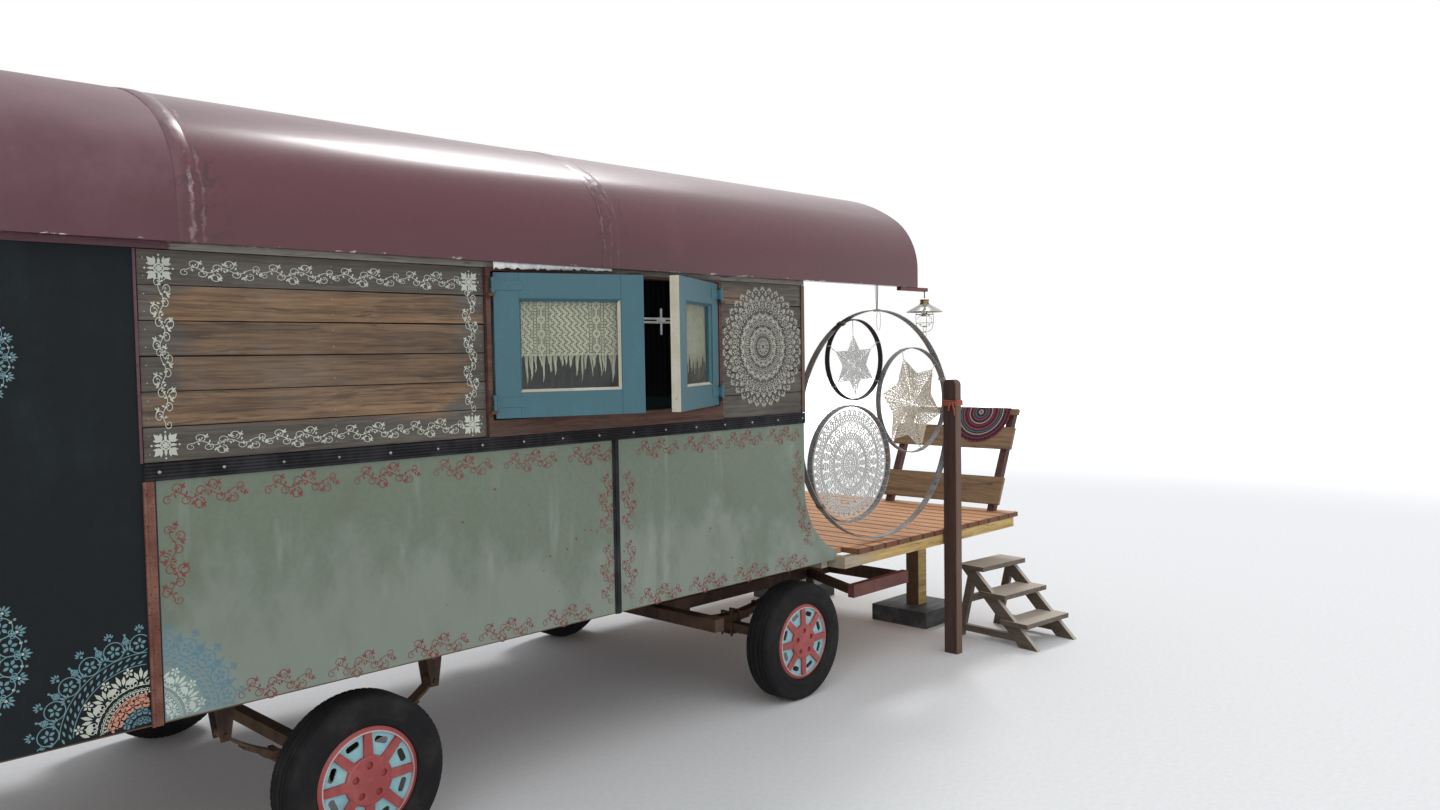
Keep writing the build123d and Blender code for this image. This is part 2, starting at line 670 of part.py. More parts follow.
def forecarriage_frame():
    """Turning frame: ring, bolsters, two rails, two cross bars, stays and spring hangers."""
    z0, z1 = CARRIAGE_TOP - CARRIAGE_TUBE, CARRIAGE_TOP
    half = CARRIAGE_TUBE / 2
    mid = z0 + half
    pieces = [tube_ring(RING_RADIUS - RING_WIDTH, RING_RADIUS, RING_TOP - RING_THICK, RING_TOP)]
    for x in (-RING_RADIUS + RING_WIDTH / 2, RING_RADIUS - RING_WIDTH / 2):
        pieces.append(block(x - 24, x + 24, -CARRIAGE_Y, CARRIAGE_Y, z0 + 8, z1 - 4))
        pieces.append(block(x - 24, x + 24, -120, 120, z0 + 8, RING_TOP - 2))
    pieces.append(block(-RING_RADIUS + 20, RING_RADIUS - 20, -60, 60, z0 + 8, RING_TOP - 2))
    for side in SIDES.values():
        y = side * CARRIAGE_Y
        pieces.append(block(CARRIAGE_REAR, CARRIAGE_FRONT, y - half, y + half, z0, z1))
        start = (STEP_BAR_REAR + 20, side * (BAR_HALF - 4), mid)
        end = (CARRIAGE_FRONT - 240, side * CARRIAGE_Y, mid)
        pieces.append(bar(start, end, 34, 44))
    for x in (CARRIAGE_REAR + half, CARRIAGE_FRONT - half):
        pieces.append(block(x - half, x + half, -BAR_HALF, BAR_HALF, z0, z1))
    for side in SIDES.values():
        for offset in EAR_OFFSETS:
            y = side * (ARM_SPREAD + offset)
            pieces.append(block(CARRIAGE_FRONT - 5, HINGE_X + 22, y - 4, y + 4, HINGE_Z - 22, HINGE_Z + 22))
        for end in (-1, 1):
            x = end * FRONT_SPRING_SPAN / 2
            pieces += cheeks(x, side * CARRIAGE_Y, FRONT_EYE_Z, z0)
    frame = joined(pieces)
    frame -= rod((0, 0, z0 - 60), (0, 0, RING_TOP + 10), KING_PIN_RADIUS + PIN_FIT)
    for side in SIDES.values():
        y0, y1 = side * (ARM_SPREAD - 80), side * (ARM_SPREAD + 80)
        frame -= rod((HINGE_X, y0, HINGE_Z), (HINGE_X, y1, HINGE_Z), HINGE_PIN + PIN_FIT)
        outside = (side * BAR_HALF, side * (BAR_HALF + 80))
        frame -= block(0, CARRIAGE_FRONT, *outside, z0 - 20, z1 + 20)
    return frame


def step_bars():
    """Short bar at each end of the forecarriage's front cross bar."""
    z0 = CARRIAGE_TOP - CARRIAGE_TUBE
    near = BAR_HALF + TOUCH
    bars = []
    for side in SIDES.values():
        y0, y1 = side * near, side * (near + STEP_BAR_WIDTH)
        bars.append(block(STEP_BAR_REAR, CARRIAGE_FRONT + 40, y0, y1, z0 - 10, CARRIAGE_TOP))
    return separate(bars)


def drawbar():
    """A-shaped drawbar hinged on the forecarriage, its nose and towing eye near the ground."""
    nose_x = EYE_X - 160
    pieces = []
    for side in SIDES.values():
        y = side * ARM_SPREAD
        reach = ARM_TUBE / 2
        pieces.append(bar((HINGE_X, y, HINGE_Z), (nose_x, side * 18, EYE_Z + 14), ARM_TUBE - 6, ARM_TUBE))
        pieces.append(rod((HINGE_X, y - reach, HINGE_Z), (HINGE_X, y + reach, HINGE_Z), ARM_TUBE / 2))
        inner, outer = side * (ARM_SPREAD - 58), side * (ARM_SPREAD + 42)
        pieces.append(rod((HINGE_X, inner, HINGE_Z), (HINGE_X, outer, HINGE_Z), HINGE_PIN))
    cross_x = (HINGE_X + nose_x) / 2
    share = (cross_x - HINGE_X) / (nose_x - HINGE_X)
    cross_y = ARM_SPREAD + share * (18 - ARM_SPREAD)
    cross_z = HINGE_Z + share * (EYE_Z + 14 - HINGE_Z)
    pieces.append(block(cross_x - 18, cross_x + 18, -cross_y, cross_y, cross_z - 18, cross_z + 18))
    pieces.append(block(nose_x - 40, EYE_X - EYE_OUTER + 12, -26, 26, EYE_Z - 18, EYE_Z + 26))
    pieces.append(rod((nose_x + 10, 0, 0), (nose_x + 10, 0, EYE_Z), 24))
    z0, z1 = EYE_Z - EYE_THICK / 2, EYE_Z + EYE_THICK / 2
    pieces.append(rod((EYE_X, 0, z0), (EYE_X, 0, z1), EYE_OUTER))
    return joined(pieces) - rod((EYE_X, 0, 0), (EYE_X, 0, EYE_Z + 100), EYE_BORE)


def window_frames():
    """Frame and sill of each side's window, with the pins of the sash hinges."""
    frames = []
    x0, x1 = WINDOW_REAR_X - JAMB, WINDOW_FRONT_X + JAMB
    low = WINDOW_LOW - SILL_HEIGHT
    for side in SIDES.values():
        outer = side * (HALF + FRAME_PROUD)
        frame = block(x0, x1, side * INNER, outer, low, WALL_TOP)
        opening = block(WINDOW_REAR_X, WINDOW_FRONT_X, side * INNER, outer, WINDOW_LOW, WINDOW_HIGH)
        pieces = [frame - opening]
        axis_y = side * (HALF + FRAME_PROUD + BARREL_PROUD)
        for axis_x, away in ((WINDOW_REAR_X, -1), (WINDOW_FRONT_X, 1)):
            for z in sash_hinge_heights():
                z0, z1 = z - BARREL_HEIGHT / 2, z + BARREL_HEIGHT / 2
                foot = z0 - 12
                pieces.append(rod((axis_x, axis_y, foot), (axis_x, axis_y, z1), PIN_RADIUS))
                pin_side = axis_y + side * PIN_RADIUS
                tab = (axis_x - away * PIN_RADIUS, axis_x + away * JAMB)
                pieces.append(block(*tab, outer - side, pin_side, foot, z0 - 0.5))
        frames.append(joined(pieces))
    return separate(frames)


def sash_hinge_heights():
    return SASH_LOW + SASH_RAIL / 2 + 12, SASH_HIGH - SASH_RAIL / 2


def sash_place(side, end):
    """Where a shut sash is drawn, and the turn that opens it as it stands."""
    axis_x = WINDOW_REAR_X if end == "rear" else WINDOW_FRONT_X
    toward = 1 if end == "rear" else -1
    opened = REAR_SASH_OPEN if end == "rear" else FRONT_SASH_OPEN
    axis_y = side * (HALF + FRAME_PROUD + BARREL_PROUD)
    return axis_x, axis_y, toward, opened * side * toward


def turned(shape, side, end):
    """Swing a shut sash's piece about its hinge to where it stands."""
    axis_x, axis_y, _, angle = sash_place(side, end)
    return Pos(axis_x, axis_y, 0) * Rot(0, 0, angle) * Pos(-axis_x, -axis_y, 0) * shape


def sash(side, end):
    """Casement sash with its glass opening and hinge barrels."""
    axis_x, axis_y, toward, _ = sash_place(side, end)
    outer = side * (HALF + FRAME_PROUD)
    inner = side * (HALF + FRAME_PROUD - SASH_THICK)
    x0 = axis_x + toward * SASH_GAP
    x1 = x0 + toward * SASH_WIDTH
    leaf = block(x0, x1, inner, outer, SASH_LOW, SASH_HIGH)
    hole_x = (x0 + toward * SASH_RAIL, x1 - toward * SASH_RAIL)
    hole_z = (SASH_LOW + SASH_RAIL, SASH_HIGH - SASH_RAIL)
    pieces = [leaf - block(*hole_x, inner, outer, *hole_z)]
    for z in sash_hinge_heights():
        z0, z1 = z - BARREL_HEIGHT / 2, z + BARREL_HEIGHT / 2
        pieces.append(rod((axis_x, axis_y, z0), (axis_x, axis_y, z1), BARREL_RADIUS))
        strap = outer + side * 4
        pieces.append(block(x0, axis_x + toward * 90, outer - side, strap, z0 + 8, z1 - 8))
        root = (axis_x + toward * SASH_GAP, axis_x + toward * 16)
        pieces.append(block(*root, outer - side, axis_y + side * 4, z0 + 8, z1 - 8))
        pieces.append(block(axis_x, axis_x + toward * 16, axis_y - side * 4, axis_y + side * 4, z0 + 8, z1 - 8))
    shape = joined(pieces)
    for z in sash_hinge_heights():
        start, stop = (axis_x, axis_y, z - BARREL_HEIGHT), (axis_x, axis_y, z + BARREL_HEIGHT)
        shape -= rod(start, stop, PIN_RADIUS + PIN_FIT)
    return turned(shape, side, end)


def sash_pane(side, end, inner, thick, margin):
    """Sheet that fills a sash's glass opening, or laps behind it."""
    axis_x, _, toward, _ = sash_place(side, end)
    x0 = axis_x + toward * (SASH_GAP + SASH_RAIL + margin)
    x1 = axis_x + toward * (SASH_GAP + SASH_WIDTH - SASH_RAIL - margin)
    z0, z1 = SASH_LOW + SASH_RAIL + margin, SASH_HIGH - SASH_RAIL - margin
    pane = block(x0, x1, side * inner, side * (inner + thick), z0, z1)
    return turned(pane, side, end)


def sash_glass(side, end):
    middle = HALF + FRAME_PROUD - SASH_THICK / 2
    return sash_pane(side, end, middle - GLASS_THICK / 2, GLASS_THICK, TOUCH)


def sash_curtain(side, end):
    behind = HALF + FRAME_PROUD - SASH_THICK - TOUCH - CURTAIN_THICK
    return sash_pane(side, end, behind, CURTAIN_THICK, -18)


def deck_boards():
    """Cross boards, short on the wagon's ledge and long on the deck."""
    pitch = BOARD_WIDTH + BOARD_GAP
    count = int((DECK_FRONT - BOARD_WIDTH - 4) / pitch) + 1
    boards = []
    for index in range(count):
        x1 = DECK_FRONT - index * pitch
        x0 = x1 - BOARD_WIDTH
        half = INNER - 4 if x0 < DECK_REAR else DECK_HALF
        boards.append(block(x0, x1, -half, half, DECK_TOP - BOARD_THICK, DECK_TOP))
    return separate(boards)


def deck_frame():
    """Joists under the boards, the ledger against the wagon, and the two legs."""
    z1 = DECK_TOP - BOARD_THICK - TOUCH
    z0 = z1 - JOIST_DEPTH
    half = JOIST_WIDTH / 2
    end = DECK_FRONT - 45
    rim = DECK_HALF - half - 6
    start = LEDGE_REACH + TOUCH
    pieces = [block(start, start + JOIST_WIDTH, -INNER + 6, INNER - 6, z0, z1)]
    for y in (-rim, -LEG_Y, 0, LEG_Y, rim):
        x0 = DECK_REAR if abs(y) == rim else start
        pieces.append(block(x0, end, y - half, y + half, z0, z1))
    for x in (DECK_REAR + half, LEG_X, end - half):
        pieces.append(block(x - half, x + half, -rim, rim, z0, z1))
    leg = LEG_SIZE / 2
    for y in (-LEG_Y, LEG_Y):
        pieces.append(block(LEG_X - leg, LEG_X + leg, y - leg, y + leg, PAD_THICK + TOUCH, z1))
    return joined(pieces)


def deck_pads():
    """Slab under each leg."""
    h = PAD_SIZE / 2
    return separate(block(LEG_X - h, LEG_X + h, y - h, y + h, 0, PAD_THICK) for y in (-LEG_Y, LEG_Y))


def porch_post():
    """Tall square post with a rounded head, standing against the deck's edge."""
    y1 = -DECK_HALF - TOUCH
    half = POST_THICK / 2
    post = block(POST_X - half, POST_X + half, y1 - POST_WIDTH, y1, 0, POST_TOP)
    post = fillet(post.edges().filter_by(Axis.X).group_by(Axis.Z)[-1], POST_ROUND)
    ends = post.faces().sort_by(Axis.Z)[-1].edges().filter_by(Axis.Y)
    return chamfer(ends, POST_CHAMFER)


def step_turned(shape):
    return Pos(STEP_X, STEP_BACK_Y, 0) * Rot(0, 0, STEP_TURN) * shape


def porch_steps():
    """Three treads between sloping sides, with back legs, foot rails and a cross rail."""
    outer = STEP_WIDTH / 2
    inner = outer - STEP_SIDE
    pieces = []
    top = STEP_COUNT * STEP_RISE
    for index in range(STEP_COUNT):
        z1 = top - index * STEP_RISE
        y1 = -index * STEP_GOING
        lap = 14 if index == 0 else 12
        pieces.append(block(-outer - lap, outer + lap, y1 - STEP_TREAD, y1, z1 - STEP_TREAD_THICK, z1))
    foot_y = -(STEP_COUNT - 1) * STEP_GOING - STEP_TREAD - 65
    high = top - STEP_TREAD_THICK + 2
    for side in (-1, 1):
        x0, x1 = side * inner, side * outer
        slope = [(-20, high), (-20 - STEP_SIDE_WIDTH, high), (foot_y, 0), (foot_y + STEP_SIDE_WIDTH * 1.3, 0)]
        pieces.append(plate_yz(polygon(slope), min(x0, x1), max(x0, x1)))
        back = [(-75, high), (-125, high), (-25, 0), (25, 0)]
        pieces.append(plate_yz(polygon(back), min(x0, x1), max(x0, x1)))
        pieces.append(block(x0, x1, foot_y + 90, 10, 34, 74))
    pieces.append(block(-inner - 2, inner + 2, -75, -45, 215, 255))
    return step_turned(joined(pieces))


def lean_point(along, out=0):
    """Point of the leaning rail's section: along it, and out towards the front."""
    lean = radians(DECK_RAIL_LEAN)
    x = DECK_FRONT - 60 + along * sin(lean) + out * cos(lean)
    z = DECK_TOP + TOUCH + along * cos(lean) - out * sin(lean)
    return x, z


def deck_rail_uprights():
    """Two uprights that lean out over the deck's front edge."""
    half = DECK_RAIL_UPRIGHT / 2
    x0, z0 = lean_point(0)
    reach = half / cos(radians(DECK_RAIL_LEAN))
    foot = [(x0 - reach, z0), (x0 + reach, z0)]
    head = [lean_point(DECK_RAIL_LENGTH, half), lean_point(DECK_RAIL_LENGTH, -half)]
    face = polygon(foot + head)
    ends = (DECK_RAIL_NEAR, DECK_RAIL_FAR)
    return separate(plate_xz(face, y - half, y + half) for y in ends)


def deck_rail_boards():
    """Top rail and two boards on the wagon side of the uprights."""
    back = -DECK_RAIL_UPRIGHT / 2 - TOUCH
    boards = []
    for low, high in DECK_RAIL_BOARDS:
        face = polygon([lean_point(low, back), lean_point(high, back),
                        lean_point(high, back - DECK_RAIL_BOARD), lean_point(low, back - DECK_RAIL_BOARD)])
        boards.append(plate_xz(face, DECK_RAIL_NEAR - 60, DECK_RAIL_FAR + 60))
    return separate(boards)


def rail_cloth():
    """Round crochet cloth folded over the top rail, longer on the wagon's side."""
    lean = radians(DECK_RAIL_LEAN)
    back = -DECK_RAIL_UPRIGHT / 2 - 2 * TOUCH - DECK_RAIL_BOARD
    x, z = lean_point(DECK_RAIL_BOARDS[0][1] + TOUCH, back)
    plane = Plane(origin=(x, CLOTH_Y, z), x_dir=(0, -1, 0), z_dir=(-cos(lean), 0, sin(lean)))
    across = DECK_RAIL_BOARD + 2 * TOUCH
    size = 4 * CLOTH_RADIUS
    under = Pos(0, CLOTH_THICK - size / 2) * Rectangle(size, size)
    near = Pos(0, -CLOTH_DROP) * Circle(CLOTH_RADIUS) & under
    clear = CLOTH_Y - (DECK_RAIL_NEAR + DECK_RAIL_UPRIGHT / 2 + 2)
    past_upright = Pos(clear - size / 2, CLOTH_THICK - size / 2) * Rectangle(size, size)
    far = Pos(0, CLOTH_DROP + across) * Circle(CLOTH_RADIUS) & past_upright
    chord = 2 * sqrt(CLOTH_RADIUS**2 - (CLOTH_DROP + across) ** 2)
    top = Pos(0, CLOTH_THICK / 2) * Rectangle(chord, CLOTH_THICK)
    sheets = []
    for face, start, thick in ((near, 0, CLOTH_THICK), (top, -across - CLOTH_THICK, across + 2 * CLOTH_THICK),
                               (far, -across - CLOTH_THICK, CLOTH_THICK)):
        sheets.append(extrude(plane * Pos(0, 0, start) * face, thick))
    return joined(sheets)


HOOPS = (
    # name, radius, band width, angle of its middle seen from the large hoop's middle,
    # and its star's reach, drop below the hoop's middle and turn; a reach of 0 is a round doily
    ("small", 218, 30, 118, 158, 30, 93),
    ("medium", 300, 32, 22, 255, 32, 106),
    ("low", 316, 36, 221, 0, 0, 0),
)


def hoop_centre(radius, angle):
    """Middle of a hoop that hangs against the inside of the large one."""
    reach = HOOP_RADIUS - HOOP_THICK - TOUCH - radius
    return reach * cos(radians(angle)), reach * sin(radians(angle))


def hoop_turned(shape):
    return Pos(HOOP_X, HOOP_Y, HOOP_Z) * Rot(0, 0, HOOP_TURN) * shape


def hoop(u, z, radius, band):
    """Flat-banded hoop in the x-z plane."""
    face = Circle(radius) - Circle(radius - HOOP_THICK)
    return Pos(u, 0, z) * plate_xz(face, -band / 2, band / 2)


def large_hoop():
    """Large hoop with the rod it hangs from."""
    top = ROOF_EAVE_Z + 30 - HOOP_Z
    reach = HALF + ROOF_OVERHANG - ROOF_THICK - TOUCH + HOOP_Y
    return hoop_turned(
        joined(
            [
                hoop(0, 0, HOOP_RADIUS, 40),
                rod((0, 0, HOOP_RADIUS - 2), (0, 0, top), HANGER_RADIUS),
                rod((0, TOUCH - reach, top - 5), (0, 4, top - 5), HANGER_RADIUS),
            ]
        )
    )


def small_hoops():
    """Three hoops against the inside of the large one."""
    rings = [hoop(*hoop_centre(row[1], row[3]), row[1], row[2]) for row in HOOPS]
    return hoop_turned(separate(rings))


def star(u, z, hoop_reach, reach, drop, turn):
    """Six-pointed star with the threads that tie its points to its hoop."""
    half = CROCHET_THICK / 2
    middle = z - drop
    points = []
    for index in range(12):
        r = reach if index % 2 == 0 else reach * STAR_WAIST
        angle = radians(turn + index * 30)
        points.append((u + r * cos(angle), middle + r * sin(angle)))
    pieces = [plate_xz(polygon(points), -half, half)]
    for index in range(6):
        angle = radians(turn + index * 60)
        away = drop * sin(angle) + sqrt(hoop_reach**2 - (drop * cos(angle)) ** 2)
        start, end = [(u + r * cos(angle), 0, middle + r * sin(angle)) for r in (reach - 12, away)]
        pieces.append(rod(start, end, THREAD_RADIUS))
    return joined(pieces)


def crochet_panels():
    """Two stars and a round doily stretched inside the smaller hoops."""
    half = CROCHET_THICK / 2
    panels = []
    for _, radius, _, angle, reach, drop, turn in HOOPS:
        u, z = hoop_centre(radius, angle)
        inside = radius - HOOP_THICK - TOUCH
        if reach:
            panels.append(star(u, z, inside - TOUCH, reach, drop, turn))
        else:
            panels.append(Pos(u, 0, z) * plate_xz(Circle(inside), -half, half))
    return hoop_turned(separate(panels))


def lamp_bracket():
    """Bar under the eave that carries the lamp's hook past the roof's end."""
    low = ROOF_EAVE_Z - TOUCH - 20
    arm = block(ROOF_FRONT - 160, LAMP_X + 14, LAMP_Y - 14, LAMP_Y + 14, low, ROOF_EAVE_Z - TOUCH)
    hook = rod((LAMP_X, LAMP_Y, SHADE_HIGH + 20 + TOUCH), (LAMP_X, LAMP_Y, low + 2), 3)
    return joined([arm, hook])


def lamp_shade():
    """Thin cone with its cap."""
    rise = SHADE_HIGH - SHADE_LOW
    shell = polygon([(SHADE_RADIUS, 0), (26, rise - 12), (26, rise + 20), (0, rise + 20), (0, rise + 16),
                     (22, rise + 16), (22, rise - 16), (SHADE_RADIUS - 3, 0)])
    cone = revolve(Plane.XZ * shell, Axis.Z)
    return Pos(LAMP_X, LAMP_Y, SHADE_LOW) * cone


def lamp_globe():
    """Glass globe under the shade, held by its neck in the cap."""
    r, neck = GLOBE_RADIUS, GLOBE_NECK
    low = GLOBE_LOW
    outline = polygon([(0, low), (r * 0.55, low + r * 0.16), (r * 0.92, low + r * 0.6), (r, low + r),
                       (r * 0.92, low + r * 1.42), (neck, low + r * 1.95), (neck, SHADE_HIGH + 16 - TOUCH),
                       (0, SHADE_HIGH + 16 - TOUCH)])
    return Pos(LAMP_X, LAMP_Y, 0) * revolve(Plane.XZ * outline, Axis.Z)


def build():
    """Every piece by its node name, before the shift to the footprint's middle."""
    pieces = {
        "wagon_floor": wagon_floor(),
        "chassis_frame": chassis(),
        "front_wall": front_wall(),
        "rear_wall": end_wall(-BODY_LENGTH, -BODY_LENGTH + WALL),
        "rub_rails": rub_rails(),
        "eave_boards": eave_boards(),
        "roof_sheets": roof_sheets(),
        "porch_bow": porch_bow(),
        "window_frames": window_frames(),
        "front_door": front_door(),
        "front_door_glass": door_glass(),
        "turntable_upper": turntable_upper(),
        "forecarriage_frame": forecarriage_frame(),
        "step_bars": step_bars(),
        "drawbar": drawbar(),
        "front_axle": axle(0, CARRIAGE_Y),
        "front_springs": spring_pair(0, CARRIAGE_Y, FRONT_SPRING_SPAN, FRONT_SPRING_RISE),
        "rear_axle": axle(-WHEELBASE, CHASSIS_Y),
        "rear_springs": spring_pair(-WHEELBASE, CHASSIS_Y, REAR_SPRING_SPAN, REAR_SPRING_RISE),
        "deck_boards": deck_boards(),
        "deck_frame": deck_frame(),
        "deck_pads": deck_pads(),
        "porch_post": porch_post(),
        "porch_steps": porch_steps(),
        "deck_rail_uprights": deck_rail_uprights(),
        "deck_rail_boards": deck_rail_boards(),
        "rail_cloth": rail_cloth(),
        "large_hoop": large_hoop(),
        "small_hoops": small_hoops(),
        "crochet_panels": crochet_panels(),
        "lamp_bracket": lamp_bracket(),
        "lamp_shade": lamp_shade(),
        "lamp_globe": lamp_globe(),
    }
    for name, side in SIDES.items():
        pieces[f"{name}_lower_wall"] = lower_wall(side)
        pieces[f"{name}_upper_wall"] = upper_wall(side)
        pieces[f"{name}_tail_wall"] = tail_wall(side)
        for end in ("rear", "front"):
            pieces[f"{name}_{end}_sash"] = sash(side, end)
            pieces[f"{name}_{end}_glass"] = sash_glass(side, end)
            if name == "right":
                pieces[f"{name}_{end}_curtain"] = sash_curtain(side, end)
        for end, x in (("front", 0), ("rear", -WHEELBASE)):
            pieces[f"{name}_{end}_tyre"] = tyre(x, side)
            pieces[f"{name}_{end}_wheel"] = wheel(x, side)
    return pieces


def footprint_middle(pieces):
    """Middle of the whole object's box, at the ground."""
    boxes = [shape.bounding_box() for shape in pieces.values()]
    x = (min(b.min.X for b in boxes) + max(b.max.X for b in boxes)) / 2
    y = (min(b.min.Y for b in boxes) + max(b.max.Y for b in boxes)) / 2
    z = min(b.min.Z for b in boxes)
    return x, y, z


def main():
    pieces = build()
    x, y, z = footprint_middle(pieces)
    os.makedirs("parts", exist_ok=True)
    for name, shape in pieces.items():
        export_step(Pos(-x, -y, -z) * shape, f"parts/{name}.step")
    print(f"origin in the working frame: {x:.3f} {y:.3f} {z:.3f}")


if __name__ == "__main__":
    main()
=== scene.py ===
"""Looks of a painted vardo wagon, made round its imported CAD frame.

Lengths are in metres. While a piece is made, x = 0 is the front wall's outer face, y = 0 the middle of the
body and z = 0 the ground. SHIFT moves it into the frame.
"""

import random
from math import atan2, cos, hypot, pi, radians, sin, sqrt

import bpy
from bpy.props import FloatProperty, FloatVectorProperty, IntProperty, PointerProperty
from mathutils import Matrix, Vector, noise


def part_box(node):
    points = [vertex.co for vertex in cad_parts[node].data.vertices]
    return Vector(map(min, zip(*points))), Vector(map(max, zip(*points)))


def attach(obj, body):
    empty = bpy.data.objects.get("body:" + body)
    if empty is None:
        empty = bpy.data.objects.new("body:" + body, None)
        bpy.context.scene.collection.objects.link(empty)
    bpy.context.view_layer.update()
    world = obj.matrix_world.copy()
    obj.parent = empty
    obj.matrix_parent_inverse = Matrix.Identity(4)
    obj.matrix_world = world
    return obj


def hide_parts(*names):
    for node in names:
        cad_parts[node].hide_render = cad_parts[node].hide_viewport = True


bl_info = {
    "name": "Vardo wagon looks",
    "version": (1, 0, 0),
    "blender": (4, 5, 0),
    "location": "View3D > Sidebar > Vardo",
    "description": "Paint, planks, roof sheets, lace and fittings of a vardo wagon",
    "category": "Object",
}

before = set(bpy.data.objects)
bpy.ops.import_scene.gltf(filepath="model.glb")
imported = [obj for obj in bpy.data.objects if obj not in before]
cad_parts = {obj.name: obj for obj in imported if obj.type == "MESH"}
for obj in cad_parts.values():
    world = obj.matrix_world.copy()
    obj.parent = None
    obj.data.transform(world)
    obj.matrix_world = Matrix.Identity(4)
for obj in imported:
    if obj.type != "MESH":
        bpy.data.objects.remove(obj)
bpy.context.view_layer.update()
MIDDLE = (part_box("right_tail_wall")[0].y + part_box("left_tail_wall")[1].y) / 2
SHIFT = Vector((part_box("right_upper_wall")[1].x, MIDDLE, 0))
SIDES = ("right", "left")
# Half width; boards, wheels, ornaments, hoops and deck; colours used more than once
HALF = 1.05
PLANK_LOW, PLANK_HIGH, PLANK_STEP = 1.4773, 2.1190, 0.1071
WHEELBASE, WHEEL_Y, WHEEL_Z = 2.410, 0.965, 0.300
LARGE_AT, LARGE_SIZE, LACE_AT = (-3.140, 0.692), 0.76, (-0.306, 1.812)
HOOP_MIDDLE, LARGE_HOOP, BAND = (0.670, -1.032, 1.380), 0.630, 0.005
DECK_FRONT, BOARD_STEP, DECK_TOP = 2.110, 0.124, 0.7303
RUST, DARK, GREY = (92, 58, 42), (30, 24, 22), (142, 136, 128)


def paint(red, green, blue):
    """Linear colour from its everyday 0 to 255 values."""
    levels = (value / 255 for value in (red, green, blue))
    return tuple(v / 12.92 if v <= 0.04045 else ((v + 0.055) / 1.055) ** 2.4 for v in levels)


def look(name):
    """Material of this script by its plain name."""
    return bpy.data.materials[f"vardo {name}"]


# Shapes

BOX_FACES = ((0, 2, 3, 1), (4, 5, 7, 6), (0, 1, 5, 4), (2, 6, 7, 3), (0, 4, 6, 2), (1, 3, 7, 5))


def angles(count, parts=None):
    """Angles round a circle; parts is how many make a full turn."""
    return [2 * pi * i / (parts or count) for i in range(count)]


def polar(u, v, radius, angle):
    """Point at a distance and an angle from (u, v)."""
    return u + radius * cos(angle), v + radius * sin(angle)


class Shape:
    """Points and faces of one piece, with a finish number for each face."""

    def __init__(self):
        self.points, self.faces, self.finishes, self.flat = [], [], [], []

    def add(self, points, faces, finish=0, flat=None):
        start = len(self.points)
        self.points += [Vector(p) for p in points]
        self.faces += [tuple(start + i for i in face) for face in faces]
        self.finishes += [finish] * len(faces)
        self.flat += flat or [(0.0, 0.0)] * len(points)
        return self

    def block(self, x0, x1, y0, y1, z0, z1, finish=0):
        """Closed box; finish may name one for each of its six sides."""
        self.add([(x, y, z) for z in sorted((z0, z1)) for y in sorted((y0, y1)) for x in sorted((x0, x1))], BOX_FACES)
        self.finishes[-6:] = finish if isinstance(finish, list) else [finish] * 6
        return self

    def tube(self, path, radius, sides=8, finish=0, closed=False):
        """Round bar along a path; radius is one number or one for each point."""
        path = [Vector(p) for p in path]
        count = len(path)
        radii = radius if isinstance(radius, (list, tuple)) else [radius] * count
        ahead = (path[1] - path[0]).normalized()
        across = ahead.orthogonal().normalized()
        points = []
        for index, point in enumerate(path):
            back = path[index - 1] if closed or index else path[0]
            on = path[(index + 1) % count] if closed or index < count - 1 else path[-1]
            ahead = (on - back).normalized()
            across = (across - ahead * across.dot(ahead)).normalized()
            up = ahead.cross(across)
            points += [point + (across * cos(a) + up * sin(a)) * radii[index] for a in angles(sides)]
        faces = []
        for index in range(count if closed else count - 1):
            near, far = index * sides, (index + 1) % count * sides
            for side in range(sides):
                turn = (side + 1) % sides
                faces.append((near + side, near + turn, far + turn, far + side))
        if not closed:
            faces += [tuple(reversed(range(sides))), tuple(range((count - 1) * sides, count * sides))]
        return self.add(points, faces, finish)

    def grid(self, rows, finish=0, flat=None, around=False):
        """Sheet through rows of points, joined to its own start when it goes around."""
        width = len(rows[0])
        points = [p for row in rows for p in row]
        faces = []
        for r in range(len(rows) - 1):
            for c in range(width if around else width - 1):
                d = (c + 1) % width
                faces.append((r * width + c, r * width + d, (r + 1) * width + d, (r + 1) * width + c))
        return self.add(points, faces, finish, flat)

    def merge(self, other, matrix=None, finish=None):
        """Copy of another shape, moved by a matrix."""
        matrix = matrix or Matrix.Identity(4)
        start = len(self.finishes)
        turn = matrix.determinant() < 0
        faces = [tuple(reversed(face)) for face in other.faces] if turn else other.faces
        self.add([matrix @ p for p in other.points], faces, 0, list(other.flat))
        self.finishes[start:] = other.finishes if finish is None else [finish] * len(faces)
        return self

    def kept(self, test):
        """Only the faces that pass a test."""
        pairs = [pair for pair in zip(self.faces, self.finishes) if test(pair[0])]
        self.faces, self.finishes = [face for face, _ in pairs], [finish for _, finish in pairs]
        return self

    def mesh(self, name, shift=Vector()):
        made = bpy.data.meshes.new(name)
        made.from_pydata([p + shift for p in self.points], [], self.faces)
        made.polygons.foreach_set("material_index", self.finishes)
        layer = made.uv_layers.new(name="flat")
        for loop in made.loops:
            layer.data[loop.index].uv = self.flat[loop.vertex_index]
        return made


def mirrored(shape):
    """The same shape on the wagon's left side."""
    return Shape().merge(shape, Matrix.Scale(-1, 4, Vector((0, 1, 0))))


def shown(name, data):
    """Object of a mesh, lamp or camera, put into the scene."""
    made = bpy.data.objects.new(name, data)
    bpy.context.scene.collection.objects.link(made)
    return made


